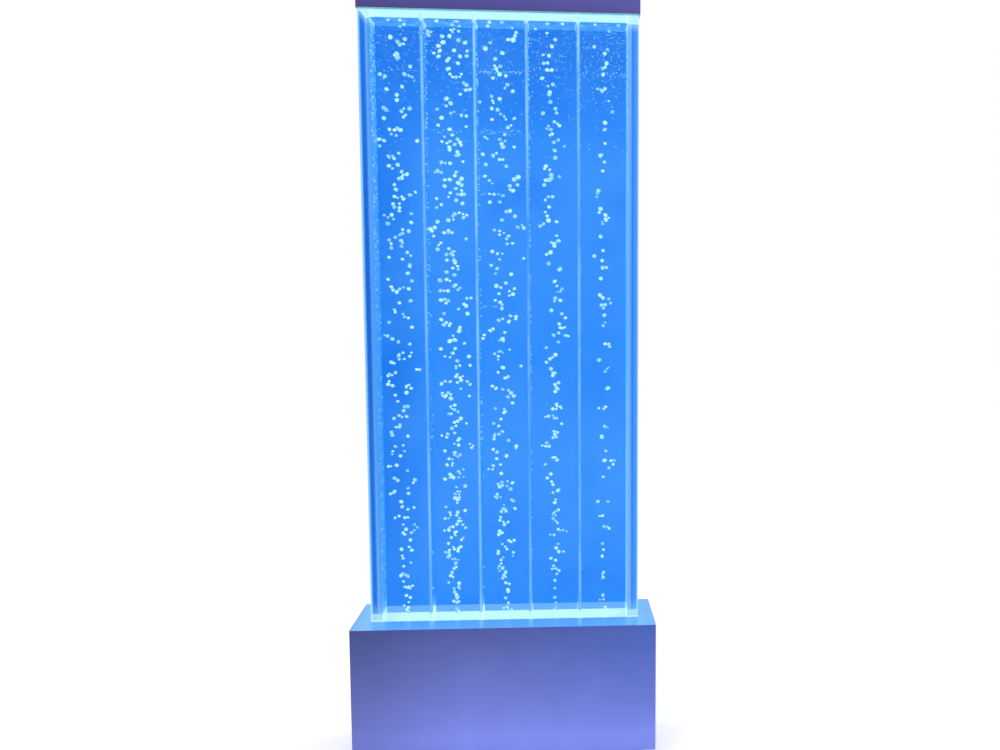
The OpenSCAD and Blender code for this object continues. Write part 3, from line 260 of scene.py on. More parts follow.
# The base's coat with painted light, palest low down
def base_paint_with_painted_light():
    return paint_with_painted_light("base_paint_with_painted_light", BASE_LIT_LOW_TINT, BASE_SHADED_HIGH_TINT, BASE_LOW.z + LIT_FOOT_H,
                 BASE_HIGH.z, 0.69, BASE_LIGHT_CAST, 0.1, 0.35)


# The cap's coat with painted shade, darkest low down
def cap_paint_with_painted_light():
    return paint_with_painted_light("cap_paint_with_painted_light", CAP_SHADED_LOW_TINT, CAP_LIT_HIGH_TINT, FRAME_LOW, cad_box[1].z, 0.78,
                 CAP_LIGHT_CAST, 0.35, 0.3)


def ledge_paint_with_painted_glow():
    """The base's top takes the panel's light as painted glow, in a deeper blue past the panel's
    two ends.
    """
    s = Shader("ledge_paint_with_painted_glow")
    sideways = s.math("ABSOLUTE", s.x)
    side = s.span(sideways, PANEL_HIGH.x - 0.03, PANEL_HIGH.x + 0.02, smooth=True)
    far = s.span(s.math("ABSOLUTE", s.y), BACK_HIGH.y, BASE_HIGH.y)
    right = s.span(s.x, -0.2, 0.2)
    tint = s.mix(far, s.mix(right, LEDGE_GLOW_TINT, LEDGE_GLOW_RIGHT), LEDGE_GLOW_FAR)
    rim = s.span(sideways, PANEL_HIGH.x + 0.018, BASE_HIGH.x)
    ends = s.mix(right, s.mix(rim, LEDGE_GLOW_END, LEDGE_GLOW_RIM), LEDGE_GLOW_RIGHT_END)
    tint = s.mix(side, tint, ends)
    # Only the upward face glows with painted light; upright faces keep the base's darker high tint
    level = s.math("GREATER_THAN", facing(s, 2), 0.5)
    rough = s.span(s.noise(90, 3), 0.3, 0.7, 0.16, 0.24)
    return s.finish(s.principled(
        Base_Color=s.mix(level, BASE_SHADED_HIGH_TINT, tint), Roughness=rough,
        Specular_IOR_Level=0.35, Emission_Color=tint,
        Emission_Strength=s.math("MULTIPLY", level, LEDGE_GLOW),
        Normal=s.bump(s.noise(*PEEL), 0.00008, 0.3)))


# Acrylic
GLOSS_IOR = 1.26
CLEAR_TINT = (0.97, 0.99, 1.0, 1.0)
GLOW = 0.97
PLATE_WHITE = 0.021      # how much white the front plate's gloss adds to what is behind it


def behind(red, green, blue):
    """The glow that looks like this colour through the front plate and its gloss."""
    passed = [GLOW * clear ** 2 for clear in CLEAR_TINT[:3]]
    seen = [held(v - PLATE_WHITE, 0.0, 1.0) for v in srgb(red, green, blue)[:3]]
    return tuple(held(v / share, 0.0, 1.0) for v, share in zip(seen, passed)) + (1.0,)


# Painted light: the glow and painted shade of the lit water, bars, plates and specks of air, most
# given as seen through the front plate
STRIP_GLOW = behind(197, 254, 254)
FOOT_GLOW = behind(194, 240, 252)
FIELD_GLOW = behind(52, 141, 253)
FIELD_GLOW_PALE = behind(67, 151, 254)
FIELD_SHADE_TOP = behind(49, 128, 240)
FIELD_SHADE_LEFT = behind(35, 122, 236)
FIELD_GLOW_CLOUD = behind(70, 152, 254)
FIELD_SHADE_PATCH = behind(38, 128, 246)
FIELD_GLOW_GRAIN = behind(84, 156, 240)
FIELD_GLOW_FOOT = behind(112, 181, 254)
REAR_GLOW = srgb(34, 134, 246)
REAR_GLOW_ENDS = srgb(74, 162, 252)
REAR_GLOW_STRIPE = srgb(112, 192, 254)
BAR_GLOW_BLUE = behind(79, 156, 246)
BAR_GLOW_PALE = behind(178, 224, 244)
BAR_HALO = behind(150, 220, 252)
CUT_BRIGHT = behind(148, 214, 251)
CUT_HALO = behind(160, 226, 253)
FLECK_GLOW = behind(174, 233, 251)
CAP_SHADE = (0.08, 0.32, 0.40, 1.0)
CAP_SHADE_H = 0.0052
FOOT_H = 0.016           # how high the floor's light stands in the clear pieces
FOOT_BLUR = 0.002
HALO_H = 0.05
HEAD_H = 0.020           # how far the top frame's light reaches down the bars
SPILL_H = 0.02


def end_glow(s):
    """1 near the panel's lit ends and 0 at its middle height."""
    up = s.span(s.z, PANEL_LOW.z, PANEL_HIGH.z, -0.5, 0.5)
    return s.span(s.math("ABSOLUTE", up), 0.04, 0.45)


def foot_light(s, share):
    """The share up to the height of the floor's light, and 0 above it."""
    top = FLOOR_TOP + FOOT_H
    return s.span(s.z, top - FOOT_BLUR, top + FOOT_BLUR, share, 0.0)


def foot_halo(s, share):
    """The share just over the floor's light, fading out on the way up."""
    return s.span(s.z, FLOOR_TOP + FOOT_H, FLOOR_TOP + HALO_H, share, 0.0, True)


def flecks(s, pearls, pearl_low, pearl_high, blotch, dense):
    """Specks of air on a clear face: small pearls, in patches, as dense as the share given."""
    pearl = s.span(s.cells(1.0, pearls), pearl_low, pearl_high, 1.0, 0.0)
    return s.math("MULTIPLY", s.math("MULTIPLY", pearl, blotch), dense)


def glowing(s, tint, base, rough, strength=GLOW, **more):
    """Finishes acrylic, water or air that shows its tint as light from inside."""
    return s.finish(s.principled(
        Base_Color=base, Roughness=rough, IOR=GLOSS_IOR, Specular_IOR_Level=0.25,
        Emission_Color=tint, Emission_Strength=strength, **more))


def clear_plate():
    """Front plate: seen straight through, with a mirror's share of light, the cap's painted shade
    along its top and cut edges that glow with painted light.
    """
    s = Shader("clear_plate")
    through = s.add("ShaderNodeBsdfTransparent")
    scuff = s.span(s.noise(35, 4), 0.35, 0.75, 0.0, 0.05)
    glass = s.add("ShaderNodeBsdfGlossy")
    s.join(s.math("ADD", scuff, 0.02), glass.inputs["Roughness"])
    fresnel = s.add("ShaderNodeFresnel")
    fresnel.inputs["IOR"].default_value = GLOSS_IOR
    front = s.math("LESS_THAN", s.y, PANEL_LOW.y + ON_FACE)
    # Painted shade of the cap along the top of the plate's front face
    shade = s.span(s.z, PANEL_HIGH.z - CAP_SHADE_H, PANEL_HIGH.z, 0.0, 1.0, True)
    shade = s.math("MULTIPLY", shade, front)
    s.join(s.mix(shade, CLEAR_TINT, CAP_SHADE), through.inputs["Color"])
    share = s.math("MULTIPLY", fresnel.outputs[0], front)
    clear = s.add("ShaderNodeMixShader")
    s.join(share, clear.inputs[0])
    s.join(through.outputs[0], clear.inputs[1])
    s.join(glass.outputs[0], clear.inputs[2])
    # Painted light: the cut edges glow, palest at the foot and the top
    glow = s.ramp(s.span(s.z, PANEL_LOW.z, PANEL_HIGH.z), [
        (0.0, srgb(190, 245, 252)), (0.12, srgb(120, 200, 245)),
        (0.85, srgb(110, 190, 235)), (1.0, srgb(170, 235, 250))])
    edge = s.principled(Base_Color=srgb(60, 120, 170), Roughness=0.25,
                        Emission_Color=glow, Emission_Strength=0.75)
    sides = s.math("GREATER_THAN", facing(s, 0), 0.5)
    surface = s.add("ShaderNodeMixShader")
    s.join(sides, surface.inputs[0])
    s.join(clear.outputs[0], surface.inputs[1])
    s.join(edge, surface.inputs[2])
    return s.finish(surface.outputs[0])


# How pale the field's painted glow is, by share of the panel's height
FIELD_LEVELS = ((0.0, 0.1), (0.12, 0.4), (0.27, 1.0), (0.44, 0.2), (0.62, 0.7), (0.76, 0.8),
                (0.86, 0.0))


def back_plate():
    """Plate that glows blue with painted light, lit from both ends, with the floor light's pale
    band painted along its foot.
    """
    s = Shader("back_plate")
    up = s.span(s.z, PANEL_LOW.z, PANEL_HIGH.z)
    glow = end_glow(s)
    # Painted light: paler and darker bands of glow up the height, darker near the top
    tint = s.mix(s.levels(up, FIELD_LEVELS), FIELD_GLOW, FIELD_GLOW_PALE)
    tint = s.mix(s.span(up, 0.8, 0.94), tint, FIELD_SHADE_TOP)
    # Painted shade: darker towards the left end, most at middle height
    middle = s.span(s.math("SUBTRACT", 1.0, glow), 0, 1, 0.4, 0.95)
    left = s.math("MULTIPLY", s.span(s.x, -0.275, -0.16, 1.0, 0.0, True), middle)
    tint = s.mix(left, tint, FIELD_SHADE_LEFT)
    # Painted light and shade: paler clouds and dimmer patches in the glow
    cloud = s.span(s.noise(4.2, 3), 0.45, 0.7, 0.0, 0.6)
    tint = s.mix(cloud, tint, FIELD_GLOW_CLOUD)
    dim = s.span(s.noise(6.5, 3, 0.6), 0.5, 0.75, 0.0, 0.5)
    tint = s.mix(dim, tint, FIELD_SHADE_PATCH)
    # Painted light: a fine grain of paler glow near the top
    top = s.span(s.z, 1.5, 1.68, 0.0, 1.0, True)
    grain = s.span(s.noise(1.0, 2, 0.7, s.scaled(170, 170, 150)), 0.52, 0.72, 0.0, 0.5)
    tint = s.mix(s.math("MULTIPLY", grain, top), tint, FIELD_GLOW_GRAIN)
    # Painted light: the floor's pale band along the foot
    band = s.math("LESS_THAN", s.z, FLOOR_TOP + FOOT_H)
    tint = s.mix(s.math("MULTIPLY", band, 0.95), tint, FIELD_GLOW_FOOT)
    # Rear face: painted glow, brighter at the lit ends, with paler painted stripes behind the
    # dividers
    low, high = DIVIDERS[0]
    pitch = DIVIDERS[1][0].x - low.x
    beside = s.math("PINGPONG", s.math("SUBTRACT", s.x, (low.x + high.x) / 2), pitch / 2)
    stripe = s.span(beside, 0.002, 0.011, 0.45, 0.0, True)
    rear_tint = s.mix(stripe, s.mix(glow, REAR_GLOW, REAR_GLOW_ENDS), REAR_GLOW_STRIPE)
    rear = s.math("GREATER_THAN", s.y, BACK_HIGH.y - ON_FACE)
    tint = s.mix(s.math("MULTIPLY", rear, 0.75), tint, rear_tint)
    rough = s.span(s.noise(60, 3), 0.3, 0.7, 0.05, 0.09)
    return glowing(s, tint, srgb(0, 12, 40), rough, Normal=s.bump(s.noise(7, 2), 0.0015, 0.25))


# How bright the bars' painted bands of light and shade are, as shares of their width from the
# outer edge to the inner one
LEFT_BANDS = ((0.0, 0.88), (0.08, 0.7), (0.22, 0.02), (0.47, 0.0), (0.64, 0.5), (1.0, 0.48))
RIGHT_BANDS = ((0.0, 0.96), (0.1, 0.62), (0.22, 0.32), (0.33, 0.48), (0.51, 0.06), (0.7, 0.54),
               (0.92, 0.62), (1.0, 0.9))
# The same for their outer faces, from the middle of the depth to the front or the back
OUTER_BANDS = ((0.0, 0.05), (0.14, 0.15), (0.2, 0.6), (0.4, 0.35), (0.6, 0.45), (0.76, 0.85),
               (1.0, 1.0))
FLANK_AT = 0.7           # the wire bore's inner flank shines most near the lit ends
FLANK_LIFT = 0.12
HEAD_SPILL = 0.34
# How bright the painted light on their inner faces is low down, at half height and high up
FACE_AT = (0.05, 0.5, 0.92)
LEFT_FACE = (0.42, 0.38, 0.5)
RIGHT_FACE = (0.64, 0.5, 0.54)


def bar_glow(s, level, deep_shade):
    """A bar's painted light: the dark shade colour at level 0, the field's blue glow at 0.5 and
    pale at 1.
    """
    tint = s.mix(s.span(level, 0.0, 0.5), deep_shade, BAR_GLOW_BLUE)
    return s.mix(s.span(level, 0.5, 1.0), tint, BAR_GLOW_PALE)


def side_bar(name, bands, face, deep_shade_middle, deep_shade_ends, head_slope):
    """Thick clear bar: upright bands of painted light and shade where its walls and wire bore bend
    the light.
    """
    s = Shader(name)
    glow = end_glow(s)
    # Painted shade: the dark bands' colour runs from middle height to the lit ends
    deep_shade = s.mix(glow, deep_shade_middle, deep_shade_ends)
    # Front face: painted bands of light and shade across the width, the wire bore's flank brighter
    # near the lit ends
    inset = s.math("SUBTRACT", PANEL_HIGH.x, s.math("ABSOLUTE", s.x))
    across = s.span(inset, 0.0, BAR_W)
    flank = s.math("ABSOLUTE", s.math("SUBTRACT", across, FLANK_AT))
    flank = s.math("MULTIPLY", s.span(flank, 0.03, 0.14, FLANK_LIFT, 0.0), glow)
    level = s.math("ADD", s.levels(across, bands), flank)
    # Painted light: faint upright streaks in the bands
    streak = s.span(s.noise(1.0, 3, 0.5, s.scaled(300, 300, 2.0)), 0.45, 0.7, 0.0, 0.06)
    front = bar_glow(s, s.math("ADD", level, streak), deep_shade)

    # Inner face: painted light by height, the field's glow towards the back and glowing specks of
    # air
    up = s.span(s.z, PANEL_LOW.z, PANEL_HIGH.z)
    inner = bar_glow(s, s.levels(up, list(zip(FACE_AT, face))), deep_shade)
    back = s.span(s.y, -INNER_Y + 0.010, INNER_Y)
    inner = s.mix(s.math("MULTIPLY", back, 0.9), inner, FIELD_GLOW)
    blotch = s.span(s.noise(1.0, 4, 0.7, s.scaled(160, 160, 60)), 0.3, 0.5)
    dense = s.math("MAXIMUM", s.span(s.z, 1.0, 1.6, 0.15, 1.0), s.span(s.z, 0.4, 0.95, 0.5, 0.15))
    fleck = flecks(s, s.scaled(150, 30, 150), 0.12, 0.5, blotch, dense)
    fleck = s.math("MULTIPLY", fleck, s.span(back, 0.0, 1.0, 1.3, 0.45), True)
    inner = s.mix(fleck, inner, FLECK_GLOW)
    on_inner = s.math("GREATER_THAN", inset, BAR_W - ON_FACE)
    tint = s.mix(on_inner, front, inner)

    # Outer face: painted bands of light and shade, with faint streaks
    outward = s.span(s.math("ABSOLUTE", s.y), 0.0, BACK_HIGH.y)
    streak = s.span(s.noise(1.0, 3, 0.5, s.scaled(40, 220, 1.4)), 0.3, 0.7, 0.0, 0.12)
    outer = bar_glow(s, s.math("ADD", s.levels(outward, OUTER_BANDS), streak), deep_shade)
    tint = s.mix(s.math("LESS_THAN", inset, ON_EDGE), tint, outer)

    # Painted light of the floor at the foot, a halo above it, and the top frame's light at the
    # head
    tint = s.mix(foot_light(s, 0.85), tint, FOOT_GLOW)
    tint = s.mix(foot_halo(s, 0.3), tint, BAR_HALO)
    slope = s.math("MULTIPLY", s.span(inset, 0.0, 0.016, 1.0, 0.0), head_slope)
    above = s.math("SUBTRACT", s.z, slope)
    head_low = FRAME_LOW - HEAD_H
    spill = s.span(above, head_low - SPILL_H, head_low, 0.0, HEAD_SPILL, True)
    tint = s.mix(spill, tint, STRIP_GLOW)
    head = s.math("GREATER_THAN", above, head_low)
    tint = s.mix(s.math("MULTIPLY", head, 0.95), tint, STRIP_GLOW)
    return glowing(s, tint, srgb(0, 20, 60), 0.08, Normal=s.bump(s.noise(14, 2), 0.0006, 0.2))


# The bars' dark painted shade colours, at middle height and at the lit ends
def left_bar():
    return side_bar("left_bar", LEFT_BANDS, LEFT_FACE, behind(30, 100, 202),
                    behind(38, 116, 226), HEAD_H)


def right_bar():
    return side_bar("right_bar", RIGHT_BANDS, RIGHT_FACE, behind(30, 122, 247),
                    behind(34, 126, 252), 0.0)


DIVIDER_LIFTS = (0.4, 0.52, 0.34, 0.44)    # how bright each divider's cut edge is
CUT_AT = 0.58                              # where across its thickness the bright line stands
CLEAR_ALPHA = (0.3, 0.03)                  # its face's cover at the front and at the back


def divider(name, lift):
    """Divider between channels: a cut edge that carries painted light, a faint face with glowing
    specks of air, and painted light at its foot and under the water's top.
    """
    s = Shader(name)
    low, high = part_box(name)
    # Painted light: the cut edge's bright line, brighter higher up and varying along it
    upper = s.span(s.z, 1.25, 1.66, 0.0, 0.3)
    vary = s.span(s.noise(1.0, 2, 0.6, s.scaled(9, 9, 6)), 0.35, 0.65, -0.2, 0.2)
    level = s.math("ADD", s.math("ADD", upper, vary), lift, True)
    middle = s.math("ABSOLUTE", s.math("SUBTRACT", s.x, low.x + CUT_AT * (high.x - low.x)))
    level = s.math("MULTIPLY", level, s.span(middle, 0.0010, 0.0040, 1.15, 0.08))
    front = s.math("LESS_THAN", s.y, ON_CUT - INNER_Y)
    level = s.math("MULTIPLY", level, front)
    bright = s.mix(level, FIELD_GLOW, CUT_BRIGHT)
    # Painted light: glowing specks of air on the face
    blotch = s.span(s.noise(1.0, 3, 0.6, s.scaled(60, 60, 26)), 0.4, 0.58)
    dense = s.span(s.z, 0.9, 1.6, 0.15, 0.95)
    fleck = flecks(s, s.scaled(150, 90, 170), 0.05, 0.48, blotch, dense)
    tint = s.mix(s.math("MULTIPLY", fleck, 0.7), bright, FLECK_GLOW)
    cut = s.math("GREATER_THAN", s.math("ABSOLUTE", s.y), INNER_Y - ON_CUT)
    tint = s.mix(cut, s.mix(s.math("MAXIMUM", fleck, 0.4), FIELD_GLOW, tint), tint)
    # Painted light: a halo over the floor's light, and the floor's and the water top's light at
    # the foot and the head
    tint = s.mix(foot_halo(s, 0.35), tint, CUT_HALO)
    head = s.span(s.z, WATER_Z - 0.008, WATER_Z, 0.0, 0.9)
    lit = s.math("MAXIMUM", foot_light(s, 1.0), head)
    tint = s.mix(lit, tint, STRIP_GLOW)
    face = s.span(s.y, -INNER_Y, INNER_Y * 0.8, *CLEAR_ALPHA)
    solid = s.math("ADD", s.math("MULTIPLY", cut, 0.9), face, True)
    solid = s.math("MAXIMUM", solid, s.math("MAXIMUM", fleck, lit))
    return glowing(s, tint, srgb(0, 30, 80), 0.12, Alpha=solid)


OPAL_GLOW = 0.92
OPAL_BASE = srgb(60, 90, 100)
OPAL_CLOUD = srgb(214, 250, 254)
OPAL_REAR = srgb(70, 150, 250)
FLOOR_ENDS = srgb(198, 236, 250)
FRAME_ENDS = srgb(200, 250, 253)
NYLON_TINT = srgb(234, 234, 228)
REAR_GAP = 0.001


def opal(name, ends, x_from, x_to):
    """Lit opal acrylic, paler past the ends of its light and dim under the back plate."""
    s = Shader(name)
    out = s.span(s.math("ABSOLUTE", s.x), x_from, x_to, 0.0, 1.0, True)
    colour = s.mix(out, STRIP_GLOW, ends)
    cloud = s.span(s.noise(40, 3), 0.3, 0.7, 0.0, 0.08)
    colour = s.mix(cloud, colour, OPAL_CLOUD)
    rear = s.math("GREATER_THAN", s.y, BACK_LOW.y - REAR_GAP)
    colour = s.mix(s.math("MULTIPLY", rear, 0.8), colour, OPAL_REAR)
    return s.finish(s.principled(
        Base_Color=OPAL_BASE, Roughness=0.3, Specular_IOR_Level=0.4,
        Emission_Color=colour, Emission_Strength=OPAL_GLOW,
        Normal=s.bump(s.noise(400, 2), 0.00005, 0.3)))


def lit_nylon():
    """White nozzle whose tip, inside the lit floor, takes the floor's glow."""
    s = Shader("lit_nylon")
    tip = s.span(s.z, FLOOR_TOP - 0.002, FLOOR_TOP - 0.001)
    colour = s.mix(tip, NYLON_TINT, OPAL_BASE)
    glow = s.mix(tip, BLACK, STRIP_GLOW)
    return s.finish(s.principled(
        Base_Color=colour, Roughness=0.42, Emission_Color=glow, Emission_Strength=OPAL_GLOW,
        Normal=s.bump(s.noise(900, 3, 0.6), 0.00004, 0.5)))


def water_surface():
    """The water's top, seen from below as a band of painted blue light with small ripples in its
    brightness.
    """
    s = Shader("water_surface")
    ripple = s.noise(1.0, 3, 0.6, s.scaled(46, 70, 1))
    tint = s.ramp(ripple, [(0.3, behind(66, 146, 250)), (0.5, behind(80, 158, 252)),
                           (0.72, behind(112, 184, 252))])
    return glowing(s, tint, srgb(0, 30, 80), 0.1)


def bubble_glow(name, core, rim, strength):
    """Air in lit water, given painted light: a glow bright in its middle, fading into the water's
    blue at its rim.
    """
    s = Shader(name)
    weight = s.add("ShaderNodeLayerWeight")
    weight.inputs["Blend"].default_value = 0.42
    tint = s.ramp(weight.outputs["Facing"], [
        (0.0, core), (0.2, core), (0.48, rim), (0.72, behind(82, 162, 254)),
        (1.0, behind(56, 144, 254))])
    # Painted light: paler flecks in the glow
    wobble = s.span(s.noise(420, 2), 0.35, 0.65, 0.0, 0.25)
    tint = s.mix(wobble, tint, srgb(168, 226, 255))
    # Painted shade: some patches of bubbles glow dimmer
    shy = s.span(s.noise(38, 2), 0.44, 0.62, 0.0, 0.66)
    tint = s.mix(shy, tint, behind(96, 172, 254))
    return glowing(s, tint, srgb(60, 110, 140), 0.15, strength)


# Metals, plastics, rubber and wires inside the base
def metal(name, tint, rough_low, rough_high, grain, direction=(1, 1, 1)):
    """Bare or plated metal with a grain that runs one way."""
    s = Shader(name)
    lines = s.noise(1.0, 4, 0.65, s.scaled(*[grain * d for d in direction]))
    colour = s.mix(lines, tuple(v * 0.86 for v in tint[:3]) + (1,), tint)
    rough = s.span(lines, 0.25, 0.75, rough_low, rough_high)
    return s.finish(s.principled(
        Base_Color=colour, Metallic=1.0, Roughness=rough, Normal=s.bump(lines, 0.00004, 0.4)))


def zinc():
    """Zinc plate, in faint patches of crystal."""
    s = Shader("zinc_plate")
    patch = s.cells(160, output="Color")
    grey = s.add("ShaderNodeRGBToBW")
    s.join(patch, grey.inputs[0])
    colour = s.mix(grey.outputs[0], srgb(176, 180, 186), srgb(212, 214, 216))
    rough = s.span(grey.outputs[0], 0.1, 0.9, 0.28, 0.46)
    return s.finish(s.principled(
        Base_Color=colour, Metallic=1.0, Roughness=rough,
        Normal=s.bump(s.noise(700, 2), 0.00003, 0.4)))


def moulded(name, tint, rough=0.45, grain=900, depth=0.00004, coat=0.0):
    """Moulded plastic or rubber with a fine grain."""
    s = Shader(name)
    speck = s.noise(grain, 3, 0.6)
    cloud = s.span(s.noise(30, 3), 0.3, 0.7, 0.0, 0.3)
    colour = s.mix(cloud, tint, tuple(v * 0.82 + 0.006 for v in tint[:3]) + (1,))
    return s.finish(s.principled(
        Base_Color=colour, Roughness=s.span(speck, 0.3, 0.7, rough - 0.06, rough + 0.06),
        Coat_Weight=coat, Normal=s.bump(speck, depth, 0.5)))


def soft_tube():
    """Clear flexible tube: half see-through, milky along its walls."""
    s = Shader("soft_tube")
    haze = s.span(s.noise(120, 3), 0.3, 0.7, 0.42, 0.6)
    return s.finish(s.principled(
        Base_Color=srgb(206, 222, 232), Roughness=0.22, IOR=1.4, Alpha=haze))


LED_BOARD_T = 0.0017


def led_board(strip, side):
    """White LED board whose small packages glow, on the upper or the lower side of its board."""
    s = Shader("led_board")
    low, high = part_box(strip)
    if side == "upper":
        lit = s.math("GREATER_THAN", s.z, low.z + LED_BOARD_T)
    else:
        lit = s.math("LESS_THAN", s.z, high.z - LED_BOARD_T)
    grain = s.span(s.noise(500, 2), 0.3, 0.7, 0.0, 0.12)
    colour = s.mix(grain, srgb(236, 240, 240), srgb(205, 212, 214))
    glow = s.mix(lit, BLACK, srgb(196, 250, 255))
    return s.finish(s.principled(
        Base_Color=colour, Roughness=0.5, Emission_Color=glow, Emission_Strength=1.2))


def dress(material, *names):
    """Gives CAD nodes a material in place of the one they came with."""
    for name in names:
        mesh = nodes[name].data
        mesh.materials.clear()
        mesh.materials.append(material)


def dress_everything():
    dress(base_paint_with_painted_light(), "base_wrap", "base_floor", "rear_panel", "access_door")
    dress(ledge_paint_with_painted_glow(), "base_top")
    dress(cap_paint_with_painted_light(), "cap_shell")
    dress(clear_plate(), "front_plate")
    dress(back_plate(), "back_plate")
    dress(left_bar(), "left_side_bar")
    dress(right_bar(), "right_side_bar")
    for number, lift in enumerate(DIVIDER_LIFTS):
        dress(divider(f"divider_{number + 1}", lift), f"divider_{number + 1}")
    dress(opal("floor_opal", FLOOR_ENDS, 0.235, 0.275), "tank_floor")
    dress(opal("frame_opal", FRAME_ENDS, 0.29, 0.31), "top_frame", "upper_diffuser")
    dress(lit_nylon(), "air_nozzles", "drain_fitting")
    dress(zinc(), "rear_panel_screws", "foot_nuts", "door_hinge_leaves", "fixed_hinge_leaves",
          "latch_body", "valve_bracket")
    dress(moulded("primer", srgb(82, 84, 90), 0.5, 600), "tank_cradle")
    dress(metal("mill_aluminium", srgb(216, 218, 222), 0.26, 0.42, 500, (0.02, 1, 1)),
          "lower_light_channel", "upper_light_channel", "cap_hangers")
    dress(metal("turned_brass", srgb(214, 178, 98), 0.2, 0.34, 900, (1, 0.1, 1)), "drain_valve")
    dress(led_board("lower_led_strips", "upper"), "lower_led_strips")
    dress(led_board("upper_led_strip", "lower"), "upper_led_strip")
    dress(moulded("white_nylon", NYLON_TINT, 0.42), "nozzle_nuts", "check_valves",
          "gang_valve", "terminal_block")
    dress(moulded("grey_housing", srgb(120, 126, 134), 0.5, 700), "air_pump", "led_driver")
    dress(moulded("rubber", srgb(44, 44, 46), 0.75, 500, 0.00008), "pump_mounts",
          "foot_1", "foot_2", "foot_3", "foot_4")
    dress(moulded("black_sheath", srgb(36, 36, 38), 0.6), "wiring")
    dress(moulded("white_sheath", srgb(232, 233, 233), 0.55), "side_lead", "cap_lead")
    dress(moulded("black_nylon", srgb(40, 40, 44), 0.46), "cable_gland", "switch_housing",
          "light_plug", "light_socket", "latch_knob")
    dress(moulded("red_gloss", srgb(196, 34, 30), 0.24, 900, 0.00002, 0.3), "power_rocker",
          "drain_lever")
    dress(moulded("blue_gloss", srgb(44, 92, 206), 0.3, 900, 0.00002, 0.2),
          "tap_1", "tap_2", "tap_3", "tap_4", "tap_5")
    dress(soft_tube(), "air_tubes", "drain_hose")


# Bubbles and water
BUBBLE_SEED = 4107
STREAM_COUNTS = (138, 205, 148, 104, 62)
STREAM_FANS = (0.84, 0.90, 0.82, 0.48, 0.28)
BUBBLE_LOW = 0.0084      # mean size at the nozzle
BUBBLE_HIGH = 0.0104     # mean size under the surface
BUBBLE_SPREAD = 0.0012
BUBBLE_SIZES = (0.0056, 0.0135)
PALS = (0.62, 0.25, 0.09, 0.04)    # how often a bubble rises with 0, 1, 2 or 3 others
WALL_GAP = 0.006
NOZZLE_GAP = 0.007
SURFACE_GAP = 0.012


def ball(subdivisions):
    """Corners and faces of a ball of radius 1, made once and copied for every bubble."""
    work = bmesh.new()
    bmesh.ops.create_icosphere(work, subdivisions=subdivisions, radius=1.0)
    corners = [v.co.copy() for v in work.verts]
    faces = [[v.index for v in f.verts] for f in work.faces]
    work.free()
    return corners, faces


class Froth:
    """Collects bubbles, each a ball pressed flat from above and a little uneven."""

    def __init__(self, seed, subdivisions):
        self.rng = random.Random(seed)
        self.corners, self.faces = ball(subdivisions)
        self.points = []
        self.polygons = []

    def add(self, at, size):
        rng = self.rng
        flat = rng.uniform(0.72, 0.95)
        turn = Matrix.Rotation(rng.uniform(-0.5, 0.5), 3, "Y") @ Matrix.Rotation(
            rng.uniform(-0.4, 0.4), 3, "X")
        seed = Vector((rng.uniform(0, 9), rng.uniform(0, 9), rng.uniform(0, 9)))
        first = len(self.points)
        for corner in self.corners:
            swell = 1 + 0.2 * noise.noise(corner * 0.65 + seed)
            out = turn @ Vector((corner.x, corner.y, corner.z * flat))
            self.points.append(Vector(at) + out * (size / 2 * swell))
        self.polygons.extend([first + i for i in face] for face in self.faces)

    def finish(self, name, material, body="cabinet"):
        mesh = bpy.data.meshes.new(name)
        mesh.from_pydata(self.points, [], self.polygons)
        return place_mesh(mesh, name, material, body)


def place_mesh(mesh, name, material, body):
    for polygon in mesh.polygons:
        polygon.use_smooth = True
    mesh.materials.append(material)
    piece = bpy.data.objects.new(name, mesh)
    bpy.context.scene.collection.objects.link(piece)
    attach(piece, body)
    return piece


def stream(index, skin):
    """The bubbles of one channel: a narrow rise at the nozzle that fans out on its way up."""
    froth = Froth(BUBBLE_SEED + index, 2)
    rng = froth.rng
    low, high = CHANNELS[index]
    middle = (low + high) / 2
    half = (high - low) / 2
    phase = rng.uniform(0, 2 * math.pi)
    low_z = FLOOR_TOP + NOZZLE_GAP
    rise = WATER_Z - SURFACE_GAP - low_z
    for i in range(STREAM_COUNTS[index]):
        up = held((i + rng.uniform(-0.8, 0.8)) / STREAM_COUNTS[index], 0.003, 0.997)
        fan = 0.09 + STREAM_FANS[index] * (1 - math.exp(-5 * up))
        sway = math.sin(phase + 11 * up) + 0.6 * math.sin(2 * phase + 27 * up)
        side = fan * (0.62 * rng.uniform(-1, 1) + 0.22 * rng.gauss(0, 1)) + 0.11 * sway * up ** 0.5
        x = middle + held(side * half, WALL_GAP - half, half - WALL_GAP)
        y = held(rng.gauss(0, 0.5) * min(1.0, 0.3 + fan), -0.95, 0.95) * (INNER_Y - WALL_GAP)
        z = low_z + rise * up
        size = BUBBLE_LOW + (BUBBLE_HIGH - BUBBLE_LOW) * up + rng.gauss(0, BUBBLE_SPREAD)
        size = held(size, *BUBBLE_SIZES)
        froth.add((x, y, z), size)
        for _ in range(rng.choices((0, 1, 2, 3), PALS)[0]):
            turn = rng.uniform(0, 2 * math.pi)
            step = size * rng.uniform(0.7, 1.5)
            x = held(x + step * math.cos(turn), low + 0.005, high - 0.005)
            z = held(z + 0.7 * step * math.sin(turn), low_z, low_z + rise)
            froth.add((x, y + rng.uniform(-0.002, 0.002), z), size * rng.uniform(0.6, 1.0))
    return froth.finish(f"bubble_stream_{index + 1}", skin)


SPECK_COUNTS = (120, 160, 110, 190, 240)
WALL_SPECKS = 120
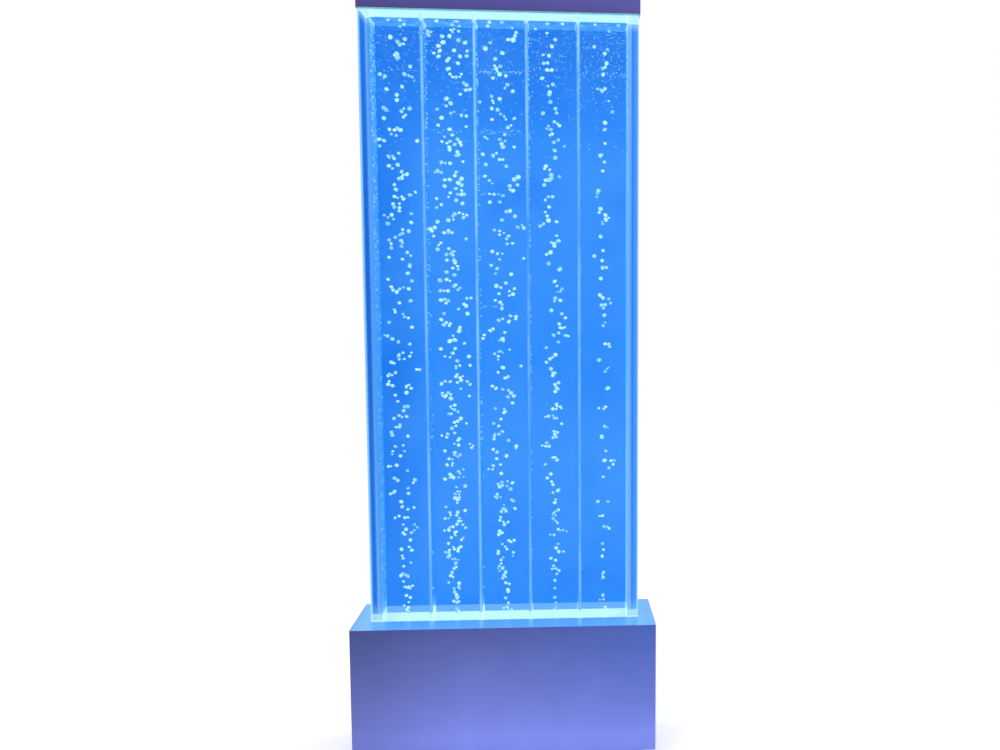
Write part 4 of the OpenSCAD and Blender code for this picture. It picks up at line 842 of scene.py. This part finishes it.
# Rows on the back plate: channel, height, how many specks, and the share of the width they take
SPECK_ROWS = ((2, 1.594, 80, 1.0), (2, 1.458, 60, 1.0), (1, 1.458, 26, 1.0), (2, 1.316, 22, 0.45),
              (0, 1.594, 12, 1.0), (3, 1.602, 14, 0.8), (2, 1.054, 14, 0.35), (4, 1.594, 30, 1.0))


def clinging_air(skin):
    """Specks of air: on the walls, in level rows on the back plate and afloat near the top."""
    froth = Froth(BUBBLE_SEED + 50, 2)
    rng = froth.rng
    walls = [-INNER_X + 0.0006] + [high.x + 0.0006 for low, high in DIVIDERS]
    for x in walls:
        for _ in range(WALL_SPECKS):
            z = FLOOR_TOP + 0.02 + (WATER_Z - FLOOR_TOP - 0.03) * rng.random() ** 0.5
            y = rng.uniform(-INNER_Y + 0.003, INNER_Y - 0.003)
            froth.add((x, y, z), rng.uniform(0.0016, 0.0044))
    for index, z, count, length in SPECK_ROWS:
        low, high = CHANNELS[index]
        for _ in range(count):
            x = low + 0.003 + (high - low - 0.006) * length * rng.random()
            froth.add((x, INNER_Y - 0.0016, z + rng.gauss(0, 0.003 * length)),
                      rng.uniform(0.0014, 0.0034))
    for (low, high), count in zip(CHANNELS, SPECK_COUNTS):
        for _ in range(count):
            z = WATER_Z - SURFACE_GAP - abs(rng.gauss(0, 0.11))
            x = rng.uniform(low + 0.004, high - 0.004)
            y = rng.uniform(-INNER_Y + 0.004, INNER_Y - 0.004)
            froth.add((x, y, z), rng.uniform(0.0014, 0.0030))
    return froth.finish("clinging_air", skin)


def water_top(skin):
    """The rippled water surface, one closed sheet in each channel."""
    step = 0.004
    thick = 0.0012
    gap = 0.0005
    points = []
    polygons = []
    for low, high in CHANNELS:
        columns = int((high - low) / step)
        rows = int(2 * INNER_Y / step)
        first = len(points)

        def at(i, j, k):
            return first + (i * (rows + 1) + j) * 2 + k

        for i in range(columns + 1):
            for j in range(rows + 1):
                x = low + gap + (high - low - 2 * gap) * i / columns
                y = -INNER_Y + gap + 2 * (INNER_Y - gap) * j / rows
                z = WATER_Z + 0.0016 * noise.noise(Vector((x * 42, y * 55, 3.0)))
                points += [(x, y, z), (x, y, z - thick)]
        for i in range(columns):
            for j in range(rows):
                top = [at(i, j, 0), at(i + 1, j, 0), at(i + 1, j + 1, 0), at(i, j + 1, 0)]
                polygons += [top, [corner + 1 for corner in reversed(top)]]
        rim = [(i, 0) for i in range(columns)] + [(columns, j) for j in range(rows)]
        rim += [(i, rows) for i in range(columns, 0, -1)] + [(0, j) for j in range(rows, 0, -1)]
        for a, b in zip(rim, rim[1:] + rim[:1]):
            polygons.append([at(*b, 0), at(*a, 0), at(*a, 1), at(*b, 1)])
    mesh = bpy.data.meshes.new("water_surface")
    mesh.from_pydata(points, [], polygons)
    return place_mesh(mesh, "water_surface", skin, "cabinet")


FROTH_COUNTS = (4, 5, 4, 3, 3)


def surface_froth(skin):
    """Half-burst bubbles under the water's surface, at the front plate and further back."""
    froth = Froth(BUBBLE_SEED + 90, 3)
    rng = froth.rng
    for (low, high), count in zip(CHANNELS, FROTH_COUNTS):
        for place in range(count):
            size = rng.uniform(0.007, 0.010)
            x = (low + high) / 2 + rng.uniform(-0.8, 0.8) * ((high - low) / 2 - 0.006)
            y = -INNER_Y + 0.006 if place % 2 == 0 else rng.uniform(0, INNER_Y - 0.008)
            froth.add((x, y, WATER_Z - size * 0.36), size)
    return froth.finish("surface_froth", skin)


def fill_with_water():
    skin = bubble_glow("bubble_glow", srgb(206, 250, 255), srgb(160, 224, 255), 0.98)
    speck = bubble_glow("speck_glow", srgb(148, 216, 251), srgb(104, 182, 250), 0.92)
    for index in range(len(CHANNELS)):
        stream(index, skin)
    clinging_air(speck)
    water_top(water_surface())
    surface_froth(skin)


# Camera, floor and light
def add_camera():
    yaw, pitch, roll = (math.radians(v) for v in (CAMERA_YAW, CAMERA_PITCH, CAMERA_ROLL))
    right = Vector((math.cos(yaw), math.sin(yaw), 0))
    ahead = Vector((-math.sin(yaw), math.cos(yaw), 0))
    up = Vector((0, 0, 1))
    look = ahead * math.cos(pitch) + up * math.sin(pitch)
    top = up * math.cos(pitch) - ahead * math.sin(pitch)
    side = right * math.cos(roll) + top * math.sin(roll)
    top = top * math.cos(roll) - right * math.sin(roll)
    data = bpy.data.cameras.new("camera")
    data.sensor_width = SENSOR_W
    data.lens = FOCAL_PX / IMAGE_W * SENSOR_W
    data.shift_x = (IMAGE_W / 2 - CENTRE_PX[0]) / IMAGE_W
    data.shift_y = (CENTRE_PX[1] - IMAGE_H / 2) / IMAGE_W
    camera = bpy.data.objects.new("camera", data)
    bpy.context.scene.collection.objects.link(camera)
    turn = Matrix((side, top, -look)).transposed().to_4x4()
    camera.matrix_world = Matrix.Translation(CAMERA_AT) @ turn
    bpy.context.scene.camera = camera


WORLD_LEVEL = 0.78
FLOOR_TINT = (0.86, 0.86, 0.86, 1.0)
FLOOR_DIM = (0.8, 0.8, 0.8, 1.0)
FLOOR_GLOW = 0.34
WHITE = (1.0, 1.0, 1.0, 1.0)
LAMP_AIM = (0, 0, 0.9)
LAMP_SIZE = 2.0


def seen_ray(tree):
    """1 for rays from the camera, mirrors and glass, 0 for rays that only carry light."""
    path = tree.nodes.new("ShaderNodeLightPath")
    first = tree.nodes.new("ShaderNodeMath")
    first.operation = "MAXIMUM"
    tree.links.new(path.outputs["Is Camera Ray"], first.inputs[0])
    tree.links.new(path.outputs["Is Glossy Ray"], first.inputs[1])
    second = tree.nodes.new("ShaderNodeMath")
    second.operation = "MAXIMUM"
    tree.links.new(first.outputs[0], second.inputs[0])
    tree.links.new(path.outputs["Is Transmission Ray"], second.inputs[1])
    return second.outputs[0]


def add_world():
    world = bpy.data.worlds.new("studio")
    world.use_nodes = True
    tree = world.node_tree
    background = tree.nodes["Background"]
    level = tree.nodes.new("ShaderNodeMapRange")
    level.inputs["To Min"].default_value = WORLD_LEVEL
    level.inputs["To Max"].default_value = 1.0
    tree.links.new(seen_ray(tree), level.inputs["Value"])
    tree.links.new(level.outputs["Result"], background.inputs["Strength"])
    background.inputs["Color"].default_value = WHITE
    bpy.context.scene.world = world


def add_floor():
    s = Shader("studio_floor")
    mottle = s.span(s.noise(3, 3), 0.3, 0.7, 0.97, 1.0)
    tint = s.mix(mottle, FLOOR_DIM, FLOOR_TINT)
    glow = s.math("MULTIPLY", seen_ray(s.tree), FLOOR_GLOW)
    surface = s.principled(Base_Color=tint, Roughness=0.9, Emission_Color=WHITE,
                           Emission_Strength=glow)
    work = bmesh.new()
    bmesh.ops.create_grid(work, x_segments=24, y_segments=24, size=9.0)
    mesh = bpy.data.meshes.new("studio_floor")
    work.to_mesh(mesh)
    work.free()
    mesh.materials.append(s.finish(surface))
    floor = bpy.data.objects.new("studio_floor", mesh)
    bpy.context.scene.collection.objects.link(floor)


def add_lamp(name, at, watts):
    data = bpy.data.lights.new(name, "AREA")
    data.size = LAMP_SIZE
    data.energy = watts
    lamp = bpy.data.objects.new(name, data)
    lamp.location = at
    lamp.rotation_euler = (Vector(LAMP_AIM) - Vector(at)).to_track_quat("-Z", "Y").to_euler()
    bpy.context.scene.collection.objects.link(lamp)


bpy.context.scene.view_settings.view_transform = "Standard"
add_camera()
add_world()
add_floor()
add_lamp("key_lamp", (-2.2, -3.2, 3.4), 34)
add_lamp("fill_lamp", (3.0, 1.5, 3.0), 22)
dress_everything()
fill_with_water()
